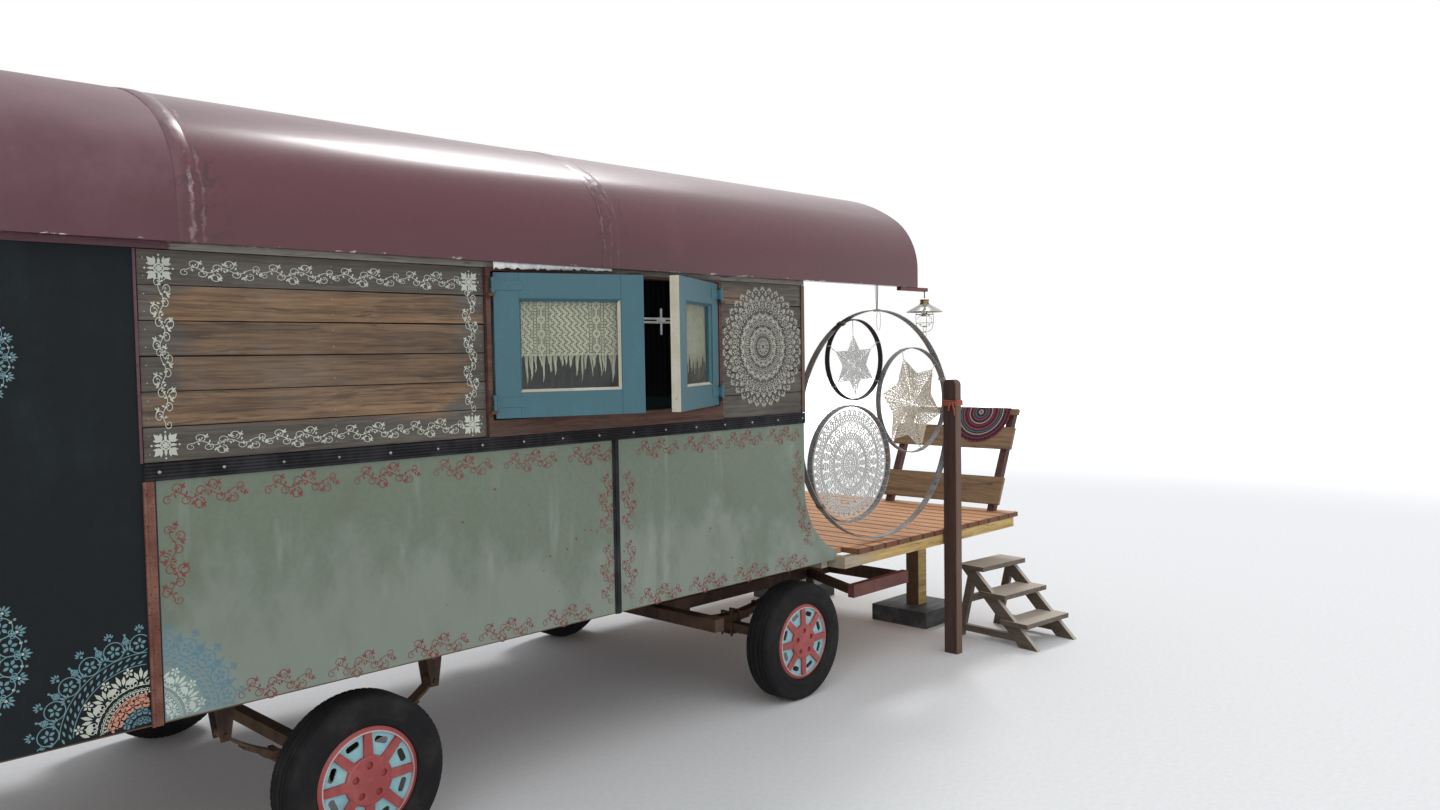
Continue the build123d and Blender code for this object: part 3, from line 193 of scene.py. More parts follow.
def make_piece(name, shape, finishes, body="wagon", slot=None, replaces=(), bevel=0.0, smooth=35.0, thick=0.0):
    """Object from a shape, with its materials, riding on its body."""
    mesh = shape.mesh(name, SHIFT)
    for finish in finishes:
        mesh.materials.append(look(finish))
    piece = shown(name, mesh)
    if smooth:
        mesh.shade_smooth()
        mesh.set_sharp_from_angle(angle=radians(smooth))
    if thick:
        solid = piece.modifiers.new("thickness", "SOLIDIFY")
        solid.thickness, solid.offset = thick, 0
    if bevel:
        edges = piece.modifiers.new("soft edges", "BEVEL")
        edges.width, edges.segments, edges.limit_method = bevel, 2, "ANGLE"
        edges.angle_limit = radians(40)
    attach(piece, body)
    if replaces:
        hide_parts(*replaces)
    return piece


def turned_about(x, y, degrees):
    """Turn about an upright line."""
    there = Matrix.Translation((x, y, 0))
    return there @ Matrix.Rotation(radians(degrees), 4, "Z") @ there.inverted()


# Geometry Nodes


def socket(tree, name, kind, out=False, value=None):
    made = tree.interface.new_socket(name=name, in_out="OUTPUT" if out else "INPUT", socket_type=f"NodeSocket{kind}")
    if value is not None:
        made.default_value = value


def copies_tree():
    """Tree that copies a motif in a row, or in a ring about a line along Y."""
    name = "Row or ring of copies"
    if name in bpy.data.node_groups:
        return bpy.data.node_groups[name]
    tree = bpy.data.node_groups.new(name, "GeometryNodeTree")
    socket(tree, "Geometry", "Geometry")
    socket(tree, "Count", "Int", value=8)
    for label in ("Start", "Step", "First turn", "Turn step"):
        socket(tree, label, "Vector")
    socket(tree, "Size", "Float", value=1.0)
    socket(tree, "Unevenness", "Float")
    socket(tree, "Material", "Material")
    socket(tree, "Geometry", "Geometry", out=True)
    g = Graph(tree)
    given, result = tree.nodes.new("NodeGroupInput").outputs, tree.nodes.new("NodeGroupOutput")
    line = g.put("GeometryNodeMeshLine", Count=given["Count"], Start_Location=given["Start"], Offset=given["Step"])
    index = g.put("GeometryNodeInputIndex").outputs[0]
    spin = g.put("VectorMath", {"operation": "MULTIPLY_ADD"}, i0=given["Turn step"], i1=index, i2=given["First turn"])
    turn = g.put("FunctionNodeEulerToRotation", i0=spin.outputs[0])
    low = g.math("SUBTRACT", given["Size"], given["Unevenness"])
    high = g.math("ADD", given["Size"], given["Unevenness"])
    chance = g.put("FunctionNodeRandomValue", i2=low, i3=high, Seed=7)
    copy = g.put("GeometryNodeInstanceOnPoints", Points=line.outputs[0], Instance=given["Geometry"],
                 Rotation=turn.outputs[0], Scale=chance.outputs[1])
    real = g.put("GeometryNodeRealizeInstances", i0=copy.outputs[0])
    painted = g.put("GeometryNodeSetMaterial", Geometry=real.outputs[0], Material=given["Material"])
    g.link(painted.outputs[0], result.inputs[0])
    return tree


def copied(motif, material, **inputs):
    """Shape of a motif's copies, as the tree makes them."""
    tree = copies_tree()
    source = shown("motif", motif.mesh("motif"))
    modifier = source.modifiers.new("copies", "NODES")
    modifier.node_group = tree
    inputs["Material"] = look(material)
    named = {k.replace("_", " "): v for k, v in inputs.items()}
    for item in tree.interface.items_tree:
        if item.item_type == "SOCKET" and item.in_out == "INPUT" and item.name in named:
            modifier[item.identifier] = named[item.name]
    graph = bpy.context.evaluated_depsgraph_get()
    made = bpy.data.meshes.new_from_object(source.evaluated_get(graph))
    shape = Shape().add([v.co.copy() for v in made.vertices], [tuple(p.vertices) for p in made.polygons])
    bpy.data.objects.remove(source)
    bpy.data.meshes.remove(made)
    return shape


def row(motif, material, count, start, step, turn=(0.0, 0.0, 0.0), uneven=0.0):
    """Copies in a straight row."""
    turn = tuple(radians(a) for a in turn)
    return copied(motif, material, Count=count, Start=start, Step=step, First_turn=turn, Unevenness=uneven)


def ring(motif, material, count, centre, first=0.0):
    """Copies in a ring about a line along Y through the centre, clockwise from the top as seen from the right."""
    first, step = (0.0, radians(first), 0.0), (0.0, radians(360 / count), 0.0)
    return copied(motif, material, Count=count, Start=centre, First_turn=first, Turn_step=step)


# Painted ornaments, drawn in the x-z plane and facing -Y


class Stencil(Shape):
    """Flat painted ornament."""

    def lift(self):
        """Each stroke lies a hair above the one before."""
        self.layer = getattr(self, "layer", 0) + 1
        return -0.000006 * (self.layer % 24)

    def polygon(self, points):
        area = sum(a[0] * b[1] - b[0] * a[1] for a, b in zip(points, points[1:] + points[:1]))
        ordered = points if area > 0 else points[::-1]
        y = self.lift()
        return self.add([(u, y, v) for u, v in ordered], [tuple(range(len(ordered)))])

    def stroke(self, path, start_width, end_width):
        """Ribbon along a path that changes width evenly."""
        count, y = len(path), self.lift()
        edges = []
        for index, (u, v) in enumerate(path):
            u0, v0 = path[max(index - 1, 0)]
            u1, v1 = path[min(index + 1, count - 1)]
            length = hypot(u1 - u0, v1 - v0) or 1.0
            half = (start_width + (end_width - start_width) * index / (count - 1)) / 2
            nu, nv = -(v1 - v0) / length * half, (u1 - u0) / length * half
            edges.append(((u + nu, y, v + nv), (u - nu, y, v - nv)))
        points = [p for pair in edges for p in pair]
        faces = [(2 * i, 2 * i + 1, 2 * i + 3, 2 * i + 2) for i in range(count - 1)]
        return self.add(points, faces)

    def curl(self, u, v, radius, start, turns, width):
        """Open spiral that begins at (u, v) going along start degrees, and ends in a bead."""
        heading = radians(start)
        side = 1 if turns > 0 else -1
        cu, cv = u - sin(heading) * radius * side, v + cos(heading) * radius * side
        first = atan2(v - cv, u - cu)
        steps = max(8, int(abs(turns) * 16))
        path = []
        for index in range(steps + 1):
            share = index / steps
            path.append(polar(cu, cv, radius * (1 - 0.60 * share ** 1.3), first + turns * 2 * pi * share))
        self.stroke(path, width, width * 0.55)
        return self.dot(*path[-1], width * 0.85, 6)

    def dot(self, u, v, radius, sides=8):
        return self.polygon([polar(u, v, radius, a) for a in angles(sides)])

    def leaf(self, u, v, angle, length, width):
        """Pointed leaf from its stalk at (u, v)."""
        a = radians(angle)
        outline = ((0, 0), (0.3, 0.42), (0.6, 0.5), (1, 0), (0.6, -0.5), (0.3, -0.42))
        turn = [(s * length, t * width) for s, t in outline]
        return self.polygon([(u + s * cos(a) - t * sin(a), v + s * sin(a) + t * cos(a)) for s, t in turn])

    def bud(self, u, v, angle, size):
        """Three leaves on one stalk."""
        for spread, length in ((-50, 0.7), (0, 1.0), (50, 0.7)):
            self.leaf(u, v, angle + spread, size * length, size * 0.34)
        return self

    def arc(self, u, v, radius, start, end, width, steps=14):
        turns = [radians(start + (end - start) * i / steps) for i in range(steps + 1)]
        return self.stroke([polar(u, v, radius, a) for a in turns], width, width)


def border_motif():
    """Running vine of open scrolls, leaves and buds, 0.24 m long."""
    s = Stencil()
    stem = [(0.008 + 0.224 * i / 30, 0.010 * sin(2 * pi * 2.5 * i / 30)) for i in range(31)]
    s.stroke(stem, 0.0030, 0.0026)
    curls = (
        # u, v, radius, heading, turns, width
        (0.010, 0.000, 0.0135, 150, 1.05, 0.0032), (0.038, 0.008, 0.0165, 30, 1.15, 0.0034),
        (0.066, -0.004, 0.0150, -45, -1.10, 0.0034), (0.098, -0.010, 0.0185, -10, -1.20, 0.0036),
        (0.112, 0.000, 0.0160, 50, 1.10, 0.0034), (0.142, 0.009, 0.0180, 20, 1.20, 0.0036),
        (0.170, -0.004, 0.0150, -50, -1.10, 0.0034), (0.200, -0.008, 0.0150, 0, -1.10, 0.0032),
        (0.228, 0.004, 0.0125, 35, 1.05, 0.0030),
    )
    for curl in curls:
        s.curl(*curl)
    leaves = ((0.024, 0.006, -75), (0.030, 0.008, 100), (0.052, 0.004, -60), (0.058, 0.000, 80), (0.083, -0.009, 75),
              (0.090, -0.010, -100), (0.104, -0.006, 110), (0.120, 0.004, -65), (0.132, 0.009, -95), (0.156, 0.004, 75),
              (0.162, 0.001, -75), (0.184, -0.009, 80), (0.192, -0.009, -95), (0.214, -0.003, 85), (0.222, 0.002, -70))
    for leaf in leaves:
        s.leaf(*leaf, 0.0145, 0.0064)
    buds = ((0.046, 0.024, 60, 0.018), (0.076, -0.022, -50, 0.018), (0.122, 0.020, 70, 0.020),
            (0.106, -0.028, -60, 0.018), (0.152, 0.026, 60, 0.018), (0.180, -0.022, -60, 0.019),
            (0.232, -0.006, -25, 0.018))
    for bud in buds:
        s.bud(*bud)
    return s


def corner_motif():
    """Square corner piece of four flowers and curls, 0.09 m across, about its middle."""
    s = Stencil()
    for turn in (45, 135, 225, 315):
        a, b = radians(turn), radians(turn + 45)
        s.leaf(*polar(0, 0, 0.012, a), turn, 0.036, 0.017)
        for way in (-1, 1):
            s.leaf(*polar(0, 0, 0.016, a), turn + 38 * way, 0.026, 0.009)
            s.curl(*polar(0, 0, 0.012, a), 0.0105, turn + 62 * way, way, 0.0032)
        s.leaf(*polar(0, 0, 0.010, b), turn + 45, 0.024, 0.009)
        s.dot(*polar(0, 0, 0.040, b), 0.0034, 6)
    return s.dot(0, 0, 0.006)


def ring_motifs():
    """Motifs of the round mandalas, each drawn above its centre at radius 1."""
    names = ("palmette", "heart", "rosette", "link", "bead", "petal", "daisy", "scroll")
    palmette, heart, rosette, link, bead, petal, daisy, scroll = motifs = [Stencil() for _ in names]
    for spread in (-52, -26, 0, 26, 52):
        a = radians(90 + spread)
        palmette.leaf(*polar(0, 0.90, 0.07, a), 90 + spread, 0.17 - abs(spread) * 0.0012, 0.050)
    palmette.dot(0.0, 0.90, 0.030, 8)
    for side in (-1, 1):
        heart.curl(0.0, 0.86, 0.075, 90 - 55 * side, 0.85 * side, 0.018)
        scroll.curl(0.0, 0.90, 0.065, 90 - 80 * side, 1.1 * side, 0.018)
        rosette.arc(0.0, 1.0, 0.120, 95 if side < 0 else 85, 85 + 180 * side if side < 0 else 265, 0.012)
        rosette.curl(0.120 * side, 1.06, 0.034, 90 - 30 * side, -1.0 * side, 0.013)
    heart.bud(0.0, 0.93, 90, 0.13)
    scroll.leaf(0.0, 0.96, 90, 0.13, 0.05)
    for turn in range(0, 360, 72):
        a = radians(90 + turn)
        rosette.leaf(*polar(0, 1.0, 0.016, a), 90 + turn, 0.070, 0.040)
        daisy.leaf(*polar(0, 1.0, 0.030, a), 90 + turn, 0.120, 0.075)
    rosette.dot(0, 1.165, 0.018, 6)
    daisy.dot(0, 1.0, 0.020, 6)
    link.leaf(-0.034, 0.984, 25, 0.074, 0.024)
    bead.dot(0, 1.0, 0.030, 7)
    petal.arc(0, 0.90, 0.10, 0, 180, 0.016)
    petal.leaf(0, 0.91, 90, 0.075, 0.040)
    return dict(zip(names, motifs))


def mandala(centre, rings, size=1.0):
    """Rings of motifs; each ring gives a motif, radius, size across, count, finish and turn in steps."""
    motifs = ring_motifs()
    made = Shape()
    for layer, (motif, radius, across, count, finish, shift) in enumerate(rings):
        drawn = Shape().merge(motifs[motif])
        drawn.points = [Vector((p.x * across, p.y - 0.00015 * layer / len(rings), radius + (p.z - 1) * across)) * size
                        for p in drawn.points]
        made.merge(ring(drawn, "stencil_white", count, centre, 360 / count * shift), finish=finish)
    return made


def circle_lines(made, centre, radii, width, finish, first=0.0, sweep=360.0):
    """Thin painted rings added to a shape; angles run clockwise from the top."""
    for radius in radii:
        line = Stencil().arc(0, 0, radius, 90 - first - sweep, 90 - first, width, max(12, int(sweep / 5)))
        made.merge(line, Matrix.Translation(centre), finish)
    return made


# Shader groups


class Graph:
    """Short way to put nodes into one tree."""

    def __init__(self, tree):
        self.tree, self.link = tree, tree.links.new

    def set(self, target, value):
        """Give a socket a plain value or another node's output."""
        if isinstance(value, bpy.types.NodeSocket):
            self.link(value, target)
        else:
            target.default_value = (*value, 1.0) if target.type == "RGBA" and len(value) == 3 else value

    def put(self, kind, settings=None, **sockets):
        made = self.tree.nodes.new(kind if "Node" in kind else f"ShaderNode{kind}")
        for key, value in (settings or {}).items():
            setattr(made, key, value)
        for key, value in sockets.items():
            self.set(made.inputs[int(key[1:]) if key[1:].isdigit() else key.replace("_", " ")], value)
        return made

    def math(self, operation, a, b=0.0, c=0.0):
        return self.put("Math", {"operation": operation}, i0=a, i1=b, i2=c).outputs[0]

    def times(self, a, b):
        return self.math("MULTIPLY", a, b)

    def times_add(self, a, b, c):
        return self.math("MULTIPLY_ADD", a, b, c)

    def apart(self, a, b):
        return self.math("ABSOLUTE", self.math("SUBTRACT", a, b))

    def mix(self, share, a, b, blend="MIX"):
        return self.put("Mix", {"data_type": "RGBA", "blend_type": blend}, i0=share, i6=a, i7=b).outputs[2]

    def noise(self, vector, scale, detail=3.0, rough=0.55):
        return self.put("TexNoise", Vector=vector, Scale=scale, Detail=detail, Roughness=rough).outputs[0]

    def stretched(self, vector, x, y, z):
        return self.put("Mapping", Vector=vector, Scale=(x, y, z)).outputs[0]

    def fade(self, value, low, high, to_low=0.0, to_high=1.0):
        return self.put("MapRange", {"interpolation_type": "SMOOTHSTEP"}, Value=value, i1=low, i2=high, i3=to_low,
                        i4=to_high).outputs[0]

    def parts(self, vector):
        return self.put("SeparateXYZ", Vector=vector).outputs

    def length(self, vector):
        return self.put("VectorMath", {"operation": "LENGTH"}, i0=vector).outputs["Value"]

    def near(self, vector, centre, radius, edge):
        """1 inside a ball, fading to 0 past its edge."""
        away = self.put("VectorMath", {"operation": "DISTANCE"}, i0=vector, i1=centre).outputs["Value"]
        return self.fade(away, radius - edge, radius + edge, 1.0, 0.0)


def shader_group(name, outputs, **values):
    """Shader group that takes a Vector and these values; gives its graph, inputs and outputs."""
    tree = bpy.data.node_groups.new(name, "ShaderNodeTree")
    socket(tree, "Vector", "Vector", value=(0.0, 0.0, 0.0))
    for label, value in values.items():
        plain = isinstance(value, float)
        socket(tree, label, "Float" if plain else "Color", value=value if plain else (*value, 1.0))
    for label in outputs:
        socket(tree, label, "Color" if label == "Color" else "Float", out=True)
    given, result = tree.nodes.new("NodeGroupInput"), tree.nodes.new("NodeGroupOutput")
    return Graph(tree), given.outputs, result.inputs


def wood_group():
    """Sawn or weathered wood whose grain runs along the vector's X."""
    g, given, result = shader_group("Wood grain", ("Color", "Height", "Roughness"), Dark=(0.1, 0.06, 0.03),
                                    Light=(0.4, 0.25, 0.15), Grey=(0.3, 0.28, 0.26), Weathering=0.5, Scale=1.0)
    sized = g.put("VectorMath", {"operation": "SCALE"}, i0=given["Vector"], Scale=given["Scale"]).outputs[0]
    warp = g.noise(g.stretched(sized, 1.2, 5, 5), 2.0, 2.0)
    bent = g.put("VectorMath", {"operation": "MULTIPLY_ADD"}, i0=warp, i1=(0.0, 0.05, 0.05), i2=sized).outputs[0]
    fine = g.noise(g.stretched(bent, 6, 150, 150), 1.0, 4.0, 0.65)
    rings = g.noise(g.stretched(bent, 1.5, 24, 24), 1.0, 3.0, 0.6)
    knots = g.put("TexVoronoi", Vector=g.stretched(sized, 2.2, 9, 9), Scale=1.0).outputs["Distance"]
    knot = g.fade(knots, 0.03, 0.14, 1.0, 0.0)
    tone = g.fade(g.times_add(fine, 0.45, g.times(rings, 0.65)), 0.32, 0.74)
    bare = g.mix(tone, given["Dark"], given["Light"])
    patch = g.noise(g.stretched(sized, 1.3, 4, 4), 1.7, 4.0, 0.6)
    weather = g.fade(g.math("ADD", patch, g.math("SUBTRACT", given["Weathering"], 0.5)), 0.38, 0.62)
    silver = g.mix(tone, g.mix(0.55, given["Grey"], (0.02, 0.018, 0.016)), given["Grey"])
    worn = g.mix(weather, bare, silver)
    crack = g.fade(g.noise(g.stretched(bent, 2.4, 85, 85), 1.0, 3.0, 0.6), 0.58, 0.66, 0.0, 0.62)
    knotted = g.mix(g.math("MAXIMUM", g.times(knot, 0.7), crack), worn, (0.025, 0.018, 0.014))
    g.link(knotted, result["Color"])
    g.link(g.math("SUBTRACT", fine, g.times(knot, 0.4)), result["Height"])
    g.link(g.fade(fine, 0.3, 0.8, 0.82, 0.58), result["Roughness"])


def paint_group():
    """Old paint with clouds, fading, dirt runs, small chips and rust spots."""
    g, given, result = shader_group("Old paint", ("Color", "Height", "Roughness"), Paint=(0.3, 0.3, 0.3),
                                    Faded=(0.4, 0.4, 0.4), Bare=(0.1, 0.05, 0.03), Fading=0.5, Chips=0.1, Scale=1.0,
                                    Gloss=0.4)
    sized = g.put("VectorMath", {"operation": "SCALE"}, i0=given["Vector"], Scale=given["Scale"]).outputs[0]
    clouds = g.noise(sized, 2.4, 6.0, 0.62)
    runs = g.noise(g.stretched(sized, 9, 9, 0.9), 1.0, 5.0, 0.6)
    cover = g.times_add(runs, 0.35, g.times(clouds, 0.75))
    faded = g.fade(g.math("ADD", cover, g.times(given["Fading"], 0.4)), 0.62, 0.86)
    base = g.mix(faded, given["Paint"], given["Faded"])
    fine = g.noise(sized, 60.0, 3.0)
    tinted = g.mix(0.18, base, g.mix(fine, (0.0, 0.0, 0.0), (1.0, 1.0, 1.0)), "SOFT_LIGHT")
    spots = g.noise(sized, 34.0, 3.0, 0.7)
    limit = g.times_add(given["Chips"], -0.32, 0.80)
    chip = g.fade(g.math("SUBTRACT", spots, limit), 0.0, 0.02)
    g.link(g.mix(chip, tinted, given["Bare"]), result["Color"])
    g.link(g.math("SUBTRACT", g.times(fine, 0.2), chip), result["Height"])
    rough = g.times_add(faded, 0.18, given["Gloss"])
    g.link(g.times_add(chip, 0.35, rough), result["Roughness"])


def yarn_group():
    """Twisted yarn: fine slanting plies with painted shade in the valleys between them, and a little dirt."""
    g, given, result = shader_group("Twisted yarn", ("Color", "Height"), Yarn=(0.8, 0.8, 0.75),
                                    Shade=(0.5, 0.48, 0.4))
    ply = g.put("TexWave", {"bands_direction": "DIAGONAL"}, Vector=given["Vector"], Scale=190.0, Distortion=2.5,
                Detail=2.0).outputs["Fac"]
    soft = g.noise(given["Vector"], 7.0, 4.0)
    toned = g.mix(g.fade(ply, 0.0, 0.7), given["Shade"], given["Yarn"])
    g.link(g.mix(g.fade(soft, 0.35, 0.75, 0.0, 0.35), toned, given["Shade"]), result["Color"])
    g.link(ply, result["Height"])


# Materials


def begin(name, **sockets):
    """New material: its graph, its Principled shader's sockets and the place on the object."""
    material = bpy.data.materials.new(f"vardo {name}")
    material.use_nodes = True
    g = Graph(material.node_tree)
    shader = material.node_tree.nodes["Principled BSDF"].inputs
    for key, value in sockets.items():
        g.set(shader[key.replace("_", " ")], value)
    return g, shader, g.put("TexCoord").outputs["Object"]


def use(g, name, **sockets):
    """Shader group node with its sockets set."""
    made = g.tree.nodes.new("ShaderNodeGroup")
    made.node_tree = bpy.data.node_groups[name]
    for key, value in sockets.items():
        g.set(made.inputs[key], value)
    return made.outputs


def bump(g, shader, height, depth, strength):
    g.link(g.put("Bump", Strength=strength, Distance=depth, Height=height).outputs[0], shader["Normal"])


def dress(g, shader, made, depth, strength):
    """Feed a group's colour, roughness and height to a shader."""
    g.link(made["Color"], shader["Base Color"])
    g.link(made["Roughness"], shader["Roughness"])
    bump(g, shader, made["Height"], depth, strength)


def wood(name, dark, light, grey, weathering, along="X", scale=1.0, depth=0.0012, **sockets):
    """Wood material whose grain runs along one of the frame's lines."""
    g, shader, place = begin(name, **sockets)
    if along != "X":
        turn = (0, 0, pi / 2) if along == "Y" else (0, pi / 2, 0)
        place = g.put("Mapping", Vector=place, Rotation=turn).outputs[0]
    grain = use(g, "Wood grain", Vector=place, Dark=dark, Light=light, Grey=grey, Weathering=weathering, Scale=scale)
    dress(g, shader, grain, depth, 0.6)
    return g, shader, place, grain


def coat(name, colour, faded, bare, fading=0.4, chips=0.1, scale=1.0, gloss=0.4, depth=0.0008, **sockets):
    """Painted metal or wood."""
    g, shader, place = begin(name, **sockets)
    old = use(g, "Old paint", Vector=place, Paint=colour, Faded=faded, Bare=bare, Fading=fading, Chips=chips,
              Scale=scale, Gloss=gloss)
    dress(g, shader, old, depth, 0.5)
    return g, shader, place, old


def yarn(name, colour, shade):
    g, shader, place = begin(name, Roughness=0.9, Sheen_Weight=0.25)
    ply = use(g, "Twisted yarn", Vector=place, Yarn=colour, Shade=shade)
    g.link(ply["Color"], shader["Base Color"])
    bump(g, shader, ply["Height"], 0.0006, 0.6)


def at(x, y, z):
    """Point in the frame."""
    return Vector((x, y, z)) + SHIFT


def x_at(x):
    """Where a place along the wagon lies in the frame."""
    return at(x, 0, 0).x


def roof_material(colours):
    g, shader, place, old = coat("roof_paint", colours.roof, colours.roof_faded, (0.25, 0.2, 0.2), 0.1, 0.03, 0.8,
                                 0.30, 0.0006, Coat_Weight=0.22, Coat_Roughness=0.2)
    x, _, z = g.parts(place)
    dull = g.fade(x, x_at(-2.99), x_at(-2.96), 1.0, 0.0)
    blotch = g.noise(place, 3.2, 7.0, 0.68)
    tone = g.mix(g.fade(blotch, 0.35, 0.68), paint(84, 42, 54), paint(106, 70, 80))
    colour = g.mix(g.times(dull, 0.8), old["Color"], tone)
    wobble = g.noise(place, 22.0, 5.0, 0.7)
    broken = g.fade(g.noise(place, 7.0, 4.0, 0.6), 0.40, 0.56)
    for seam, width, amount in ((-2.962, 0.005, 0.85), (-2.930, 0.004, 0.35), (-1.268, 0.003, 0.3),
                                (-1.345, 0.003, 0.3), (-1.306, 0.002, 0.25)):
        off = g.apart(g.times_add(wobble, 0.05, x), x_at(seam + 0.025))
        line = g.times(g.fade(off, width * 0.4, width * 1.6, amount, 0.0), broken)
        colour = g.mix(line, colour, paint(170, 146, 148))
    bent = g.put("VectorMath", {"operation": "MULTIPLY_ADD"}, i0=wobble, i1=(0.10, 0.10, 0.10), i2=place).outputs[0]
    cells = g.put("TexVoronoi", {"feature": "DISTANCE_TO_EDGE"}, Vector=bent, Scale=13.0).outputs["Distance"]
    near = [g.fade(g.apart(x, x_at(seam)), 0.03, 0.12, 1.0, 0.0)
            for seam in (-2.93, -1.29, -0.42)]
    near = g.math("MAXIMUM", g.math("MAXIMUM", near[0], near[1]), g.times(near[2], g.fade(z, 2.45, 2.52)))
    cracks = g.times(g.fade(cells, 0.025, 0.09, 0.75, 0.0), g.times(near, broken))
    colour = g.mix(cracks, colour, paint(52, 20, 28))
    # Painted shade: the paint darkens towards the eave, down the roof's curve.
    colour = g.mix(g.fade(z, 2.16, 2.40, 0.5, 0.0), colour, paint(66, 22, 32))
    edge = g.fade(z, 2.141, 2.150, 1.0, 0.0)
    chips = g.times(edge, g.fade(g.noise(g.stretched(place, 1, 1, 3), 9.0, 5.0, 0.7), 0.57, 0.62))
    g.link(g.mix(chips, colour, paint(196, 184, 182)), shader["Base Color"])
    rough = g.times_add(dull, 0.22, old["Roughness"])
    g.link(g.math("ADD", rough, g.fade(blotch, 0.3, 0.8, 0.0, 0.08)), shader["Roughness"])


def plank_material(colours):
    """Weathered wall boards: bare and tan in the middle of a panel, grey towards its edges."""
    g, shader, place = begin("wall_planks")
    x, y, z = g.parts(place)
    number = g.math("FLOOR", g.math("DIVIDE", g.math("SUBTRACT", z, PLANK_LOW), PLANK_STEP))
    bay = g.fade(x, x_at(-1.5), x_at(-1.2))
    seed = g.times_add(bay, 13.0, number)
    chance = g.put("TexWhiteNoise", {"noise_dimensions": "1D"}, W=seed).outputs["Value"]
    shifted = g.put("CombineXYZ", X=g.times_add(chance, 7.0, x), Y=y, Z=z).outputs[0]
    across = g.fade(g.apart(x, x_at(-2.5)), 0.34, 0.64, 1.0, 0.0)
    up = g.fade(g.apart(z, 1.79), 0.14, 0.27, 1.0, 0.0)
    uneven = g.noise(g.stretched(place, 1, 1, 5), 2.5, 4.0)
    bare = g.times(g.times(across, up), g.fade(uneven, 0.25, 0.6, 0.6, 1.0))
    weather = g.times_add(chance, 0.22, g.times_add(bare, -0.62, 0.62))
    grain = use(g, "Wood grain", Vector=shifted, Dark=paint(84, 62, 44), Light=colours.plank, Grey=paint(104, 98, 90),
                Weathering=weather, Scale=1.0)
    tint = g.mix(g.times(chance, 0.45), grain["Color"], (0.045, 0.036, 0.03))
    lifted = g.mix(g.fade(g.noise(place, 5.0, 4.0), 0.4, 0.8, 0.0, 0.25), tint, paint(134, 128, 120))
    veins = g.noise(g.stretched(shifted, 2.0, 110, 110), 1.0, 5.0, 0.75)
    lined = g.mix(g.fade(veins, 0.42, 0.66, 0.10, 0.55), lifted, (0.03, 0.022, 0.016))
    g.link(lined, shader["Base Color"])
    g.link(grain["Roughness"], shader["Roughness"])
    bump(g, shader, grain["Height"], 0.0016, 0.8)


def sheet_material(colours):
    """Sage sheet metal with pale clouds from below, rust spots and one blue patch a side."""
    g, shader, place, old = coat("sage_sheet", colours.sheet, colours.sheet_faded, paint(74, 46, 36), 0.1, 0.02, 0.9,
                                 0.42, 0.0006)
    x, y, z = g.parts(place)
    tall = g.noise(g.stretched(place, 1.5, 1.5, 0.9), 2.0, 7.0, 0.64)
    low = g.fade(z, 0.75, 1.38, 0.14, -0.10)
    cloud = g.fade(g.math("ADD", tall, low), 0.46, 0.66)
    colour = g.mix(g.times(cloud, 0.62), old["Color"], paint(132, 140, 130))
    stain = g.fade(g.noise(g.stretched(place, 2.2, 2.2, 1.2), 1.3, 5.0), 0.50, 0.78, 0.0, 0.5)
    colour = g.mix(stain, colour, paint(84, 90, 68))
    streak = g.fade(g.noise(g.stretched(place, 9, 9, 1.6), 1.0, 4.0), 0.60, 0.74, 0.0, 0.3)
    colour = g.mix(streak, colour, paint(154, 160, 152))
    flat = g.put("CombineXYZ", X=x, Y=0.0, Z=z).outputs[0]
    middle = (x_at(LARGE_AT[0]), 0, LARGE_AT[1])
    patch = g.near(flat, middle, 0.28, 0.04)
    patch = g.times(patch, g.fade(g.noise(place, 12.0, 4.0), 0.3, 0.55, 0.35, 0.85))
    inner = g.near(flat, middle, 0.185, 0.02)
    colour = g.mix(g.times(patch, 0.55), colour, paint(104, 138, 150))
    colour = g.mix(g.times(inner, 0.45), colour, paint(128, 146, 138))
    specks = g.fade(g.put("TexVoronoi", Vector=place, Scale=9.0).outputs["Distance"], 0.02, 0.045, 1.0, 0.0)
    specks = g.times(specks, g.fade(g.noise(place, 3.0, 2.0), 0.5, 0.6))
    g.link(g.mix(specks, colour, paint(58, 40, 32)), shader["Base Color"])
    waves = g.math("ADD", g.times(g.noise(g.stretched(place, 1, 1, 0.6), 2.6, 2.0), 6.0), old["Height"])
    bump(g, shader, waves, 0.0012, 0.7)


